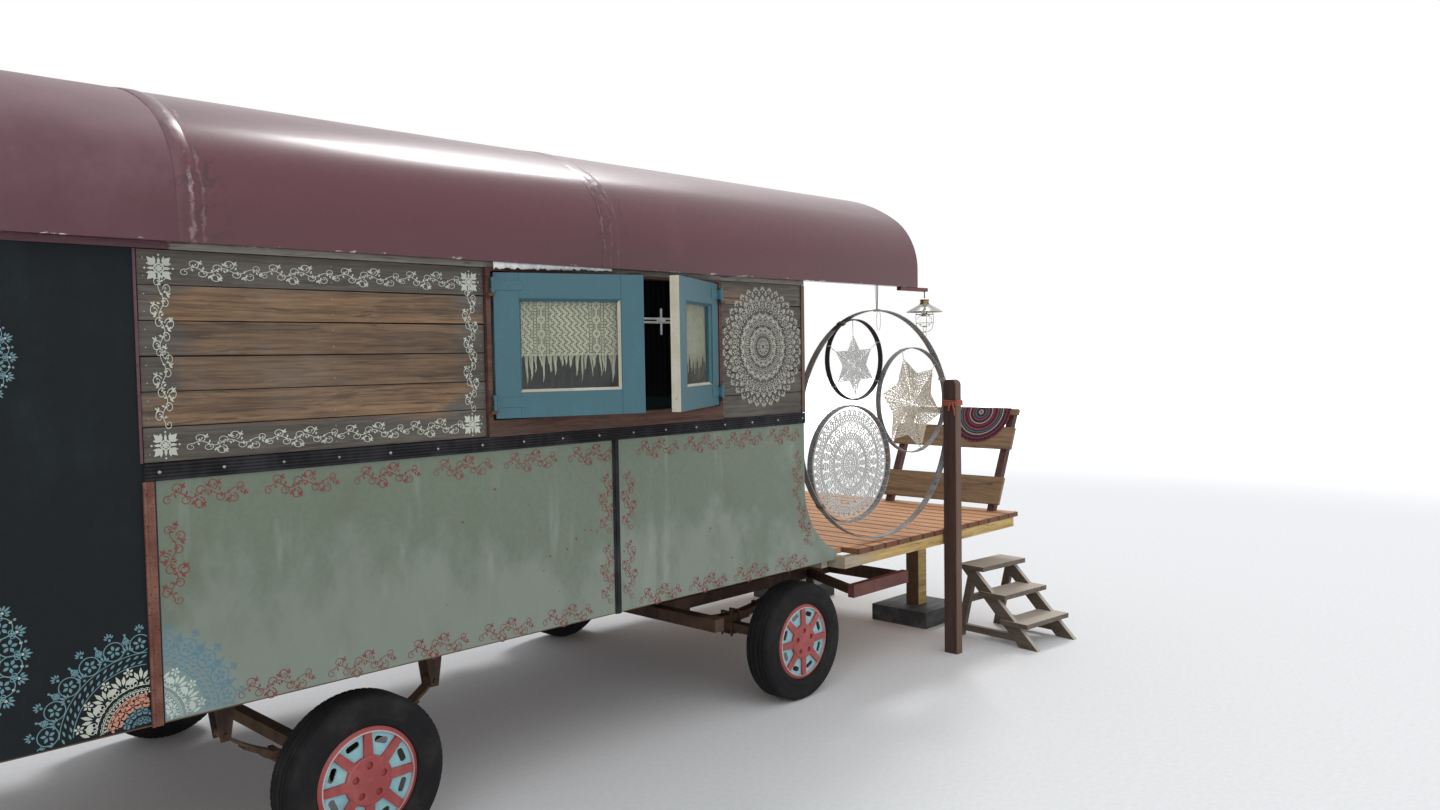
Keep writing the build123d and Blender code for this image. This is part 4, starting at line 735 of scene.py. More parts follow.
def cloth_material():
    """Round cloth of coloured rings, read from its own flat map."""
    g, shader, _ = begin("ring_cloth", Roughness=0.92, Sheen_Weight=0.3)
    flat = g.put("UVMap", {"uv_map": "flat"}).outputs[0]
    away = g.length(flat)
    ramp = g.put("ValToRGB", Fac=g.math("DIVIDE", away, 0.22))
    red, dark, cream, teal = (160, 34, 76), (26, 16, 22), (190, 176, 168), (66, 118, 120)
    wine, pink = (74, 14, 34), (184, 72, 106)
    order = (red, cream, wine, dark, teal, dark, pink, wine, dark, cream, wine, red, dark, wine, pink, dark, teal, dark,
             cream, wine, dark, red, dark, dark, red)
    ramp.color_ramp.interpolation = "CONSTANT"
    points = ramp.color_ramp.elements
    for index, colour in enumerate(order):
        share = index / len(order)
        point = points[index] if index < 2 else points.new(share)
        point.position, point.color = share, (*paint(*colour), 1.0)
    ply = use(g, "Twisted yarn", Vector=flat, Yarn=(1.0, 1.0, 1.0), Shade=(0.55, 0.55, 0.55))
    u, v, _ = g.parts(flat)
    around = g.math("FRACT", g.times(g.math("ARCTAN2", v, u), 72 / (2 * pi)))
    gap = g.fade(g.apart(around, 0.5), 0.34, 0.46, 0.0, 0.55)
    posts = g.mix(g.times(gap, g.fade(away, 0.03, 0.05)), ramp.outputs[0], (0.008, 0.005, 0.006))
    g.link(g.mix(0.5, posts, ply["Color"], "MULTIPLY"), shader["Base Color"])
    bump(g, shader, ply["Height"], 0.0006, 0.6)


def hoop_material():
    """Grey weathered hoop bands; the small hoop is black."""
    g, shader, place, grain = wood("hoop_band", paint(70, 66, 62), paint(134, 130, 126), paint(150, 148, 146), 0.75,
                                   "X", 1.2)
    black = g.near(place, at(0.479, -1.02, 1.739), 0.232, 0.004)
    rust = g.fade(g.noise(place, 4.0, 4.0), 0.5, 0.7, 0.0, 0.45)
    aged = g.mix(rust, grain["Color"], paint(112, 84, 58))
    g.link(g.mix(black, aged, paint(34, 33, 35)), shader["Base Color"])


def stencil_material(name, colour, cover):
    """Brushed stencil paint, worn through in small spots."""
    g, shader, place = begin(name, Roughness=0.7)
    spots = g.noise(place, 70.0, 4.0, 0.7)
    patches = g.noise(place, 6.0, 3.0)
    g.link(g.mix(g.fade(patches, 0.3, 0.8, 0.0, 0.35), colour, paint(120, 116, 108)), shader["Base Color"])
    hold = g.times_add(patches, 0.35, spots)
    g.link(g.fade(hold, 0.42 - cover * 0.25, 0.50 - cover * 0.25), shader["Alpha"])


def tyre_material():
    g, shader, place = begin("tyre_rubber", Roughness=0.85, Specular_IOR_Level=0.2)
    dust = g.fade(g.noise(place, 6.0, 6.0, 0.7), 0.4, 0.75, 0.0, 0.5)
    g.link(g.mix(dust, paint(26, 26, 28), paint(62, 58, 54)), shader["Base Color"])
    bump(g, shader, g.noise(place, 140.0, 3.0), 0.0005, 0.6)


def glass_material(name, tint, index=1.46, level=0.5):
    g, shader, place = begin(name, Roughness=0.03, IOR=index, Transmission_Weight=1.0, Base_Color=tint,
                             Specular_IOR_Level=level)
    smear = g.fade(g.noise(g.stretched(place, 5, 5, 1.2), 1.6, 5.0), 0.4, 0.75, 0.02, 0.09)
    g.link(smear, shader["Roughness"])


def seen_rays(g):
    """1 for rays from the camera, reflections and glass, which see a white room."""
    path = g.put("LightPath").outputs
    seen = g.math("MAXIMUM", path["Is Camera Ray"], path["Is Glossy Ray"])
    return g.math("MAXIMUM", seen, path["Is Transmission Ray"])


def white_where_seen(name):
    """Pale matt floor that keeps its shadows and fades into the white room far away."""
    g, shader, place = begin(name, Roughness=0.95, Base_Color=(0.80, 0.80, 0.79))
    away = g.length(place)
    speck = g.fade(g.noise(place, 40.0, 3.0), 0.3, 0.7, 0.78, 0.82)
    g.link(g.put("CombineColor", i0=speck, i1=speck, i2=speck).outputs[0], shader["Base Color"])
    far = g.times(g.fade(away, 9.0, 22.0), seen_rays(g))
    g.link(g.mix(far, (0.0, 0.0, 0.0), (1.0, 1.0, 1.0)), shader["Emission Color"])
    shader["Emission Strength"].default_value = 1.0
    return look(name)


COATS = (
    # name, paint, faded, bare, fading, chips, scale, gloss
    ("tail_paint", (24, 29, 32), (38, 44, 46), (150, 150, 146), 0.2, 0.0, 1.2, 0.75),
    ("black_rail", (26, 26, 29), (52, 52, 56), (110, 106, 102), 0.4, 0.12, 3.0, 0.6),
    ("sash_cream", (196, 192, 176), (186, 178, 156), (110, 92, 70), 0.5, 0.42, 2.6, 0.6),
    ("batten_copper", (104, 66, 56), (130, 92, 80), (66, 44, 40), 0.5, 0.62, 4.0, 0.7),
    ("chassis_paint", (52, 40, 36), (86, 66, 54), RUST, 0.5, 0.30, 3.0, 0.65),
    ("maroon_bar", (84, 38, 34), (112, 66, 58), DARK, 0.35, 0.2, 3.0, 0.5),
    ("axle_rust", (66, 54, 46), (104, 84, 68), RUST, 0.6, 0.45, 4.0, 0.75),
    ("shade_enamel", (168, 165, 156), (150, 146, 134), RUST, 0.3, 0.06, 6.0, 0.25),
    ("lamp_brass", (146, 124, 84), (116, 100, 72), DARK, 0.5, 0.2, 8.0, 0.35),
    ("wall_lining", (56, 46, 38), (74, 62, 50), DARK, 0.3, 0.1, 1.5, 0.6),
    ("peeling_strip", (176, 176, 178), (216, 214, 212), (84, 78, 74), 0.6, 0.30, 7.0, 0.5),
    ("door_paint", (60, 98, 106), (84, 118, 122), (150, 140, 120), 0.3, 0.1, 2.0, 0.45),
    ("screw_head", (128, 124, 118), (160, 156, 150), RUST, 0.5, 0.3, 9.0, 0.4),
    ("white_rod", (222, 222, 216), (200, 200, 196), DARK, 0.3, 0.1, 6.0, 0.35),
)
MATT = ("tail_paint", "black_rail", "chassis_paint", "axle_rust", "wall_lining", "batten_copper")
WOODS = (
    # name, dark, light, grey, weathering, along, scale, depth
    ("eave_wood", (78, 68, 60), (120, 104, 92), GREY, 0.8, "X", 1.4, 0.0014),
    ("end_wall_wood", (58, 60, 58), (84, 88, 82), (104, 104, 98), 0.35, "Z", 1.0, 0.0010),
    ("window_wood", (52, 32, 26), (96, 60, 46), (84, 68, 60), 0.35, "X", 1.4, 0.0010),
    ("floor_wood", (72, 54, 40), (118, 92, 68), GREY, 0.3, "X", 1.0, 0.0010),
    ("joist_wood", (150, 118, 66), (204, 174, 112), (150, 138, 118), 0.25, "X", 1.2, 0.0010),
    ("pad_wood", (30, 30, 32), (60, 60, 62), (84, 84, 86), 0.5, "X", 1.6, 0.0016),
    ("post_wood", (40, 24, 22), (76, 50, 44), (96, 82, 72), 0.3, "Z", 1.4, 0.0014),
    ("step_wood", (70, 58, 48), (116, 100, 84), (132, 120, 106), 0.6, "Y", 1.5, 0.0014),
    ("deck_rail_wood", (108, 84, 60), (156, 128, 96), (158, 142, 120), 0.3, "Y", 1.4, 0.0012),
    ("rail_upright_wood", (52, 30, 28), (92, 60, 52), (110, 92, 84), 0.3, "Z", 1.4, 0.0012),
)
YARNS = (
    # name, yarn, shade
    ("yarn_white", (224, 223, 218), (150, 148, 144)), ("yarn_cream", (222, 212, 194), (148, 136, 118)),
    ("lashing_rope", (192, 92, 66), (120, 50, 36)), ("lashing_olive", (132, 122, 84), (84, 76, 50)),
    ("blind_navy", (34, 40, 58), (22, 26, 40)),
)
STENCILS = (
    # name, colour, cover
    ("worn", (178, 178, 164), 0.45), ("white", (190, 194, 180), 0.68), ("red", (118, 50, 46), 0.8),
    ("teal", (96, 138, 146), 0.7), ("blue", (84, 126, 142), 0.62), ("orange", (200, 134, 108), 0.8),
    ("pale", (186, 200, 190), 0.6),
)


def make_materials(colours):
    """Every finish of the wagon."""
    for build in (wood_group, paint_group, yarn_group):
        build()
    for build in (roof_material, plank_material, sheet_material):
        build(colours)
    for build in (cloth_material, hoop_material, tyre_material, wheel_material):
        build()
    glass_material("window_glass", (0.86, 0.92, 0.9), 1.3, 0.3)
    glass_material("door_glass", (0.86, 0.92, 0.9))
    glass_material("lamp_glass", (0.95, 0.97, 0.95))
    coat("sash_teal", colours.sash, colours.sash_faded, paint(190, 190, 176), 0.15, 0.02, 2.0, 0.42)
    for name, *tones, fading, chips, scale, gloss in COATS:
        plain = {"Specular_IOR_Level": 0.18} if name in MATT else {}
        if name in ("lamp_brass", "screw_head"):
            plain = {"Metallic": 0.8}
        coat(name, *(paint(*tone) for tone in tones), fading, chips, scale, gloss, **plain)
    wood("deck_wood", paint(164, 106, 64), colours.deck, paint(196, 164, 134), 0.25, "Y", 1.4, 0.0014)
    for name, *tones, weathering, grain, scale, depth in WOODS:
        wood(name, *(paint(*tone) for tone in tones), weathering, grain, scale, depth)
    yarn("lace_cream", colours.lace, paint(150, 142, 112))
    for name, colour, shade in YARNS:
        yarn(name, paint(*colour), paint(*shade))
    for name, colour, cover in STENCILS:
        stencil_material(f"stencil_{name}", paint(*colour), cover)


def wheel_material():
    """Red trim, pale-blue panels between the spokes and a pale line round the rim."""
    g, shader, place = begin("wheel_paint")
    x, y, z = g.parts(place)
    across = g.apart(y, SHIFT.y)
    front = g.math("GREATER_THAN", x, x_at(-1.2))
    middle = g.times_add(front, WHEELBASE, x_at(-WHEELBASE))
    away_x, away_z = g.math("SUBTRACT", x, middle), g.math("SUBTRACT", z, WHEEL_Z)
    flat = g.put("CombineXYZ", X=away_x, Y=0.0, Z=away_z).outputs[0]
    away = g.length(flat)
    angle = g.math("ADD", g.math("ARCTAN2", away_x, away_z), 2 * pi + pi / 8)
    turn = g.math("SUBTRACT", g.math("MODULO", angle, pi / 4), pi / 8)
    aside = g.math("ABSOLUTE", g.times(g.math("SINE", turn), away))
    off_spoke = g.fade(aside, 0.0155, 0.0175)
    inside = g.times(g.fade(away, 0.0885, 0.0895), g.fade(away, 0.1705, 0.1715, 1.0, 0.0))
    recessed = g.fade(across, WHEEL_Y + 0.0575, WHEEL_Y + 0.0595, 1.0, 0.0)
    blue = g.times(g.times(off_spoke, inside), recessed)
    behind = g.fade(across, WHEEL_Y + 0.040, WHEEL_Y + 0.044, 1.0, 0.0)
    line = g.times(g.fade(away, 0.1715, 0.1722), g.fade(away, 0.1755, 0.1762, 1.0, 0.0))
    red, pale = (use(g, "Old paint", Vector=place, Paint=paint(*colour), Faded=paint(*faded), Bare=paint(96, 66, 58),
                     Fading=0.3, Chips=0.12, Scale=4.0, Gloss=0.42)
                 for colour, faded in (((150, 62, 62), (166, 88, 84)), ((136, 182, 190), (160, 196, 198))))
    colour = g.mix(blue, red["Color"], pale["Color"])
    colour = g.mix(g.times(line, 0.7), colour, paint(206, 200, 196))
    colour = g.mix(g.times(behind, 0.9), colour, paint(150, 146, 136))
    dust = g.fade(g.noise(place, 14.0, 5.0), 0.5, 0.8, 0.0, 0.35)
    g.link(g.mix(dust, colour, paint(112, 96, 84)), shader["Base Color"])
    g.link(red["Roughness"], shader["Roughness"])
    bump(g, shader, red["Height"], 0.0006, 0.5)


def refine_woods():
    """Second colours that depend on where a board's surface lies; several of them are painted shade on sides and
    painted light on tops.
    """
    def recolour(name, mask, colour, share):
        g = Graph(look(name).node_tree)
        shader = g.tree.nodes["Principled BSDF"].inputs["Base Color"]
        g.link(g.mix(g.times(mask(g), share), shader.links[0].from_socket, paint(*colour)), shader)

    def spot(g):
        return g.parts(g.put("TexCoord").outputs["Object"])

    def deck_ends(g):
        return g.fade(g.apart(spot(g)[1], SHIFT.y), 1.088, 1.104)

    def front_of(axis, sign):
        def mask(g):
            facing = g.parts(g.put("TexCoord").outputs["Normal"])[axis]
            return g.fade(g.times(facing, sign), 0.4, 0.7)
        return mask

    # Painted shade on the legs' faces toward the rear, low down.
    def legs_shaded_side(g):
        return g.times(front_of(0, -1.0)(g), g.fade(spot(g)[2], 0.60, 0.64, 1.0, 0.0))

    def near_wagon(g):
        return g.fade(spot(g)[0], x_at(0.30), x_at(0.66), 1.0, 0.0)

    # Painted highlight on the top faces of the highest rail board.
    def rail_lit_top(g):
        return g.times(front_of(2, 1.0)(g), g.fade(spot(g)[2], 1.30, 1.32))

    def board_edges(g):
        share = g.math("FRACT", g.math("DIVIDE", g.math("SUBTRACT", x_at(DECK_FRONT), spot(g)[0]), BOARD_STEP))
        uneven = g.noise(g.stretched(g.put("TexCoord").outputs["Object"], 8, 2, 8), 2.0, 3.0)
        return g.fade(g.apart(g.times_add(uneven, 0.10, share), 0.526), 0.33, 0.45)

    def behind_seam(g):
        return g.fade(spot(g)[0], x_at(-3.02), x_at(-3.01), 1.0, 0.0)

    recolour("eave_wood", behind_seam, (84, 46, 58), 0.9)
    recolour("deck_wood", board_edges, (96, 50, 32), 0.7)
    # Painted shade, with some darker end grain: the deck boards' ends and their faces toward the front.
    recolour("deck_wood", deck_ends, (74, 36, 30), 0.85)
    recolour("deck_wood", front_of(0, 1.0), (74, 36, 30), 0.6)
    recolour("joist_wood", legs_shaded_side, (58, 34, 30), 0.85)
    recolour("joist_wood", near_wagon, (150, 150, 148), 0.6)
    # Painted light: the post's faces toward the right-hand side are lighter.
    recolour("post_wood", front_of(1, -1.0), (112, 88, 74), 0.7)
    recolour("deck_rail_wood", rail_lit_top, (214, 160, 84), 0.8)
    # Painted shade on the steps' faces toward the rear and the right-hand side, painted light on their tops.
    recolour("step_wood", front_of(0, -1.0), (66, 54, 46), 0.6)
    recolour("step_wood", front_of(1, -1.0), (66, 54, 46), 0.35)
    recolour("step_wood", front_of(2, 1.0), (190, 178, 164), 0.8)


CAD_FINISHES = {
    # finish: how its nodes' names end
    "door_glass": "front_door_glass", "lamp_glass": "lamp_globe", "window_glass": "glass", "sash_teal": "sash",
    "door_paint": "front_door", "shade_enamel": "lamp_shade", "lace_cream": "curtain", "tail_paint": "tail_wall",
    "sage_sheet": "lower_wall", "wall_planks": "upper_wall", "end_wall_wood": "front_wall rear_wall",
    "floor_wood": "wagon_floor", "black_rail": "rub_rails", "eave_wood": "eave_boards", "roof_paint": "roof_sheets",
    "window_wood": "window_frames", "chassis_paint": "chassis_frame turntable_upper forecarriage_frame drawbar",
    "maroon_bar": "porch_bow step_bars lamp_bracket", "axle_rust": "axle springs", "deck_wood": "deck_boards",
    "joist_wood": "deck_frame", "pad_wood": "deck_pads", "post_wood": "porch_post", "step_wood": "porch_steps",
    "rail_upright_wood": "uprights", "deck_rail_wood": "deck_rail_boards", "hoop_band": "large_hoop small_hoops",
    "tyre_rubber": "tyre", "wheel_paint": "wheel", "ring_cloth": "rail_cloth", "yarn_white": "crochet_panels",
}


def finish_cad():
    """Give every CAD node its material."""
    for name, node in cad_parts.items():
        finish = next(f for f, ends in CAD_FINISHES.items() if name.endswith(tuple(ends.split())))
        node.data.materials.clear()
        node.data.materials.append(look(finish))


# Roof

ROOF_ENDS = (-4.110, -2.970, -1.300, 0.965)
ROOF_THICK = 0.045
EAVE_Z = 2.140
EAVE_Y = 1.104


def roof_profile(inset, fine=1):
    """Section from the right eave over the crown to the left, as y, z and the outward direction."""
    shoulder, haunch, knee, crown = 0.360, 0.930, radians(55), radians(90 - 13.2)
    y, z = -EAVE_Y + shoulder, EAVE_Z + 0.100
    arcs = [(y, z, shoulder, 0.0, knee, 12 * fine)]
    y, z = y + cos(knee) * (haunch - shoulder), z - sin(knee) * (haunch - shoulder)
    arcs.append((y, z, haunch, knee, crown, 6 * fine))
    spring_y, spring_z = y - cos(crown) * haunch, z + sin(crown) * haunch
    radius = -spring_y / cos(crown)
    arcs.append((0.0, spring_z - radius * sin(crown), radius, crown, pi / 2, 5 * fine))
    rows = [(-EAVE_Y + inset, EAVE_Z, -1.0, 0.0), (-EAVE_Y + inset, EAVE_Z + 0.05, -1.0, 0.0)]
    for y, z, radius, first, last, steps in arcs:
        for i in range(steps):
            a = first + (last - first) * i / steps
            rows.append((y - cos(a) * (radius - inset), z + sin(a) * (radius - inset), -cos(a), sin(a)))
    top = (0.0, arcs[-1][1] + arcs[-1][2] - inset, 0.0, 1.0)
    return rows + [top] + [(-y, z, -ny, nz) for y, z, ny, nz in reversed(rows)]


def dent(x, y, z, depth):
    """How far a dented sheet lies outside its true curve."""
    broad = noise.noise(Vector((x * 1.7, y * 2.3 + 4.0, z * 2.3)))
    small = noise.noise(Vector((x * 6.5, y * 7.5, z * 7.5)))
    return depth * (0.8 * broad + 0.35 * small)


def roof_skin(depth):
    shell = Shape()
    outer, inner = roof_profile(0.0), roof_profile(ROOF_THICK)
    for index, (x0, x1) in enumerate(zip(ROOF_ENDS, ROOF_ENDS[1:])):
        x0 += 0.0015 if index else 0.0
        count = round((x1 - x0) / 0.045)
        amount = depth * (1.0, 0.30, 0.25)[index]
        rows = []
        for i in range(count + 1):
            x = x0 + (x1 - x0) * i / count
            ring_points = []
            for y, z, ny, nz in outer:
                push = dent(x, y, z, amount)
                ring_points.append((x, y + ny * push, z + nz * push))
            ring_points += [(x, y, z) for y, z, _, _ in reversed(inner)]
            rows.append(ring_points)
        shell.grid(rows, around=True)
        size = len(outer)
        for end in (rows[0], rows[-1]):
            shell.add(end, [(i, i + 1, 2 * size - 2 - i, 2 * size - 1 - i) for i in range(size - 1)])
    return shell


def roof_band(x0, x1, rise, ripple, seed):
    """Lap or flashing over the roof, proud in its middle and tucked down at its edges."""
    steps = max(4, round((x1 - x0) / 0.008))
    rows = []
    for i in range(steps + 1):
        share = i / steps
        row_points = []
        for y, z, ny, nz in roof_profile(0.0, 3):
            wander = 0.006 * noise.noise(Vector((seed, y * 5, z * 5)))
            x = x0 + (x1 - x0) * share + wander
            lift = rise * min(1.0, 4 * share, 4 * (1 - share)) - 0.0005
            lift += ripple * noise.noise(Vector((x * 38 + seed, y * 30, z * 30))) * sin(pi * share)
            row_points.append((x, y + ny * (lift + 0.0012), z + nz * (lift + 0.0012)))
        rows.append(row_points)
    return Shape().grid(rows[::-1])


# Sides


def board_rows(x0, x1, chance):
    """Six weathered boards, slightly uneven in place and lean."""
    made = Shape()
    pitch = (PLANK_HIGH - PLANK_LOW) / 6
    for index in range(6):
        z0, z1 = PLANK_LOW + index * pitch + 0.0016, PLANK_LOW + (index + 1) * pitch - 0.0016
        out = -HALF + chance.uniform(0.0, 0.0022)
        lean = [chance.uniform(-0.0012, 0.0012) for _ in range(4)]
        ends = (x0 + chance.uniform(0.0005, 0.003), x1 - chance.uniform(0.0005, 0.003))
        points = [(x, y, z) for z, tilt in ((z0, lean[:2]), (z1, lean[2:])) for y in (out, -HALF + 0.018)
                  for x, z in zip(ends, (z + tilt[0], z + tilt[1]))]
        made.add(points, BOX_FACES)
    return made


def upper_side(chance):
    """Boards of both bays of the right-hand side with the lining behind them."""
    bays = ((-3.1095, -1.8978), (-0.6072, -0.0005))
    made = Shape()
    for x0, x1 in bays:
        made.merge(board_rows(x0, x1, chance))
        made.block(x0, x1, -HALF + 0.0186, -1.0003, 1.4246, 2.1195, 1)
        made.block(x0, x1, -HALF + 0.0005, -HALF + 0.0180, 1.4246, 1.4765, 1)
    for x in (-3.090, -2.50, -1.915, -0.590, -0.018):
        nail = Shape().tube([(x, -HALF - 0.0006, 0), (x, -HALF + 0.004, 0)], 0.0028, 7)
        made.merge(row(nail, "screw_head", 12, (0.0, 0.0, 1.5040), (0.0, 0.0, 0.0535)), finish=2)
    return made


PAINT_Y = -HALF - 0.0005
TAIL_END = -3.1155
SHEET_LOW, SHEET_HIGH = 0.682, 1.4235


def scroll_rows(motif, runs, material):
    """Runs of one motif: x, z, copies, pitch and heading in degrees."""
    made = Shape()
    for x, z, count, pitch, heading in runs:
        a = radians(heading)
        step = (pitch * cos(a), 0.0, pitch * sin(a))
        made.merge(row(motif, material, count, (x, PAINT_Y, z), step, (0.0, -heading, 0.0)))
    return made


RED_SCROLLS = (
    # x, z, copies, pitch, heading
    (-3.049, 1.373, 6, 0.309, 0), (-2.848, 0.727, 5, 0.300, 0), (-3.034, 1.050, 1, 0.0, 90),
    (-1.315, 0.744, 2, 0.298, 90), (-1.193, 0.744, 2, 0.298, 90), (-1.130, 1.373, 4, 0.283, 0),
    (-1.130, 0.727, 4, 0.300, 0), (-0.058, 1.042, 1, 0.0, 90), (0.040, 0.795, 1, 0.0, 112),
)
WHITE_SCROLLS = (
    (-2.975, 2.062, 4, 0.246, 0), (-2.975, 1.528, 4, 0.246, 0), (-3.042, 1.588, 2, 0.212, 90),
    (-1.962, 1.588, 2, 0.212, 90),
)
TEAL_MANDALA = (
    # motif, radius, size across, count, finish, turn in steps
    ("daisy", 0.020, 0.10, 6, 0, 0), ("petal", 0.050, 0.15, 14, 1, 0), ("bead", 0.068, 0.12, 36, 0, 0),
    ("heart", 0.096, 0.20, 12, 1, 0), ("palmette", 0.094, 0.15, 12, 0, 0.5), ("link", 0.124, 0.26, 36, 1, 0),
    ("rosette", 0.162, 0.24, 18, 1, 0), ("bead", 0.190, 0.14, 36, 0, 0), ("palmette", 0.198, 0.13, 18, 1, 0.5),
)
LACE_MANDALA = (
    ("daisy", 0.018, 0.09, 6, 0, 0), ("petal", 0.042, 0.13, 12, 0, 0), ("bead", 0.058, 0.10, 34, 0, 0),
    ("scroll", 0.082, 0.17, 14, 0, 0), ("palmette", 0.086, 0.14, 14, 0, 0.5), ("bead", 0.108, 0.11, 60, 0, 0),
    ("petal", 0.126, 0.15, 30, 0, 0), ("heart", 0.150, 0.17, 22, 0, 0), ("palmette", 0.152, 0.14, 22, 0, 0.5),
    ("link", 0.178, 0.24, 54, 0, 0), ("rosette", 0.205, 0.18, 26, 0, 0), ("scroll", 0.208, 0.12, 26, 0, 0.5),
    ("bead", 0.228, 0.12, 84, 0, 0), ("heart", 0.244, 0.15, 34, 0, 0), ("scroll", 0.262, 0.15, 34, 0, 0.5),
    ("palmette", 0.278, 0.13, 34, 0, 0),
)
LARGE_MANDALA = (
    ("daisy", 0.022, 0.10, 6, 2, 0), ("petal", 0.040, 0.11, 14, 2, 0), ("daisy", 0.062, 0.13, 16, 2, 0),
    ("daisy", 0.094, 0.16, 18, 3, 0), ("daisy", 0.117, 0.13, 24, 3, 0.5), ("bead", 0.136, 0.13, 60, 0, 0),
    ("petal", 0.152, 0.13, 44, 0, 0), ("palmette", 0.198, 0.27, 16, 0, 0), ("heart", 0.196, 0.24, 16, 0, 0.5),
    ("daisy", 0.228, 0.13, 16, 0, 0.5), ("link", 0.256, 0.32, 60, 1, 0), ("link", 0.278, 0.32, 60, 1, 0.5),
    ("rosette", 0.330, 0.30, 22, 1, 0), ("palmette", 0.318, 0.16, 22, 1, 0.5), ("scroll", 0.362, 0.16, 22, 1, 0.5),
    ("bead", 0.378, 0.16, 44, 1, 0), ("palmette", 0.392, 0.13, 22, 1, 0),
)


def sheet_paint():
    """Red scrolls and rust-red specks on the sage sheets of the right-hand side."""
    made = scroll_rows(border_motif(), RED_SCROLLS, "stencil_red")
    chance = random.Random(11)
    specks = Stencil()
    for x, z, spread, count in ((-1.447, 1.02, 0.028, 9), (-1.52, 0.95, 0.09, 7), (-2.10, 1.08, 0.30, 8),
                                (-0.62, 1.10, 0.25, 6)):
        for _ in range(count):
            u, v = x + chance.gauss(0, spread), z + chance.gauss(0, spread * 1.4)
            specks.dot(u, max(0.72, min(1.34, v)), chance.uniform(0.0018, 0.0055), 6)
    return made.merge(specks, Matrix.Translation((0, PAINT_Y, 0)))


def plank_paint():
    """Off-white scroll border, corner leaves and the round lace on the planks."""
    vine = border_motif()
    vine.points = [Vector((p.x, p.y, p.z * 0.76)) for p in vine.points]
    made = scroll_rows(vine, WHITE_SCROLLS, "stencil_white")
    corner = corner_motif()
    for x, z in ((-3.045, 2.062), (-1.962, 2.062), (-3.045, 1.530), (-1.962, 1.530)):
        made.merge(corner, Matrix.Translation((x, PAINT_Y, z)))
    centre = (LACE_AT[0], PAINT_Y, LACE_AT[1])
    made.merge(mandala(centre, LACE_MANDALA), finish=1)
    return circle_lines(made, centre, (0.066, 0.116, 0.190), 0.0018, 1)


def tail_mandalas():
    """Round mandalas on the dark tail panel, the largest one half on the sage sheet."""
    centre = (LARGE_AT[0], PAINT_Y, LARGE_AT[1])
    made = trimmed(mandala(centre, LARGE_MANDALA, LARGE_SIZE), TAIL_END, LARGE_AT[1] - 0.004)
    for radius, width in ((0.128, 0.0022), (0.144, 0.0022), (0.166, 0.0026), (0.245, 0.0026), (0.292, 0.0026)):
        line = circle_lines(Shape(), centre, (radius * LARGE_SIZE,), width * 0.9, int(radius > 0.2), -90, 100)
        made.merge(trimmed(line, TAIL_END, 0.60))
    for x, z, size in ((-3.630, 0.975, 1.0), (-3.590, 1.800, 0.80)):
        made.merge(mandala((x, PAINT_Y, z), TEAL_MANDALA, size))
        circle_lines(made, (x, PAINT_Y, z), [radius * size for radius in (0.076, 0.112, 0.136)], 0.0018, 1)
    return made


def sheet_mandala():
    """The large mandala's pale continuation on the sage sheet."""
    centre = (LARGE_AT[0], PAINT_Y - 0.0001, LARGE_AT[1])
    rings = [(motif, radius, across, count, int(radius >= 0.24), shift)
             for motif, radius, across, count, _, shift in LARGE_MANDALA if radius > 0.09]
    made = mandala(centre, rings, LARGE_SIZE)
    for radius in (0.128, 0.166, 0.245, 0.292):
        circle_lines(made, centre, (radius * LARGE_SIZE,), 0.0022, int(radius > 0.2), 4, 84)
    return trimmed(made, 9.0, SHEET_LOW + 0.011, -3.080)


def trimmed(shape, x_high, z_low, x_low=-9.0):
    """Only the faces of a painted shape that lie on their panel."""
    return shape.kept(lambda face: all(
        x_low < shape.points[p].x < x_high and shape.points[p].z > z_low for p in face))


SIDE_TRIM = (
    # from x, to x, proud of the wall, its seat, from z, to z, finish
    (-3.1125, -3.0830, 0.007, 0.0002, SHEET_LOW, SHEET_HIGH, 0),
    (-3.1150, -3.1060, 0.010, 0.0002, SHEET_LOW, SHEET_HIGH, 0),
    (-3.0830, -3.0775, 0.003, 0.0002, 0.684, SHEET_HIGH, 1), (-1.2790, -1.2470, 0.006, 0.0002, 0.684, SHEET_HIGH, 1),
    (-1.2700, -1.2560, 0.010, 0.0050, 0.684, SHEET_HIGH, 1), (-0.0180, 0.0065, 0.006, 0.0002, 1.479, PLANK_HIGH, 2),
    (0.0003, 0.0065, 0.005, -0.0450, 1.479, PLANK_HIGH, 2), (-3.1190, -3.1105, 0.005, 0.0002, 1.479, PLANK_HIGH, 3),
)


def side_trim():
    """Copper batten, seam strip and corner strips of the right-hand side."""
    made = Shape()
    for x0, x1, proud, seat, z0, z1, finish in SIDE_TRIM:
        made.block(x0, x1, -HALF - proud, -HALF - seat, z0, z1, finish)
    return made


def flashing():
    """Ragged, peeling strip along the foot of the eave board."""
    chance = random.Random(3)
    x, rows = -1.885, []
    y, top = -1.0985, 2.1398
    while x < -1.30:
        low = 2.1085 + 0.018 * (x + 1.885) / 0.585 + 0.005 * chance.random() + 0.006 * (chance.random() < 0.2)
        curl = 0.0006 + 0.0022 * chance.random()
        rows.append([(x, y, top), (x, y - 0.0008, (top + low) / 2), (x, y - curl, low)])
        x += 0.006 + 0.010 * chance.random()
    return Shape().grid(rows[::-1])


def rail_screws():
    """Screws along the rub rail."""
    head = Shape().tube([(0, 0.004, 0), (0, -0.0010, 0), (0, -0.0024, 0)], [0.0052, 0.0052, 0.0030], 10)
    return row(head, "screw_head", 17, (-3.07, -HALF - 0.0141, 1.4505), (0.1902, 0.0, 0.0), uneven=0.12)


# Windows

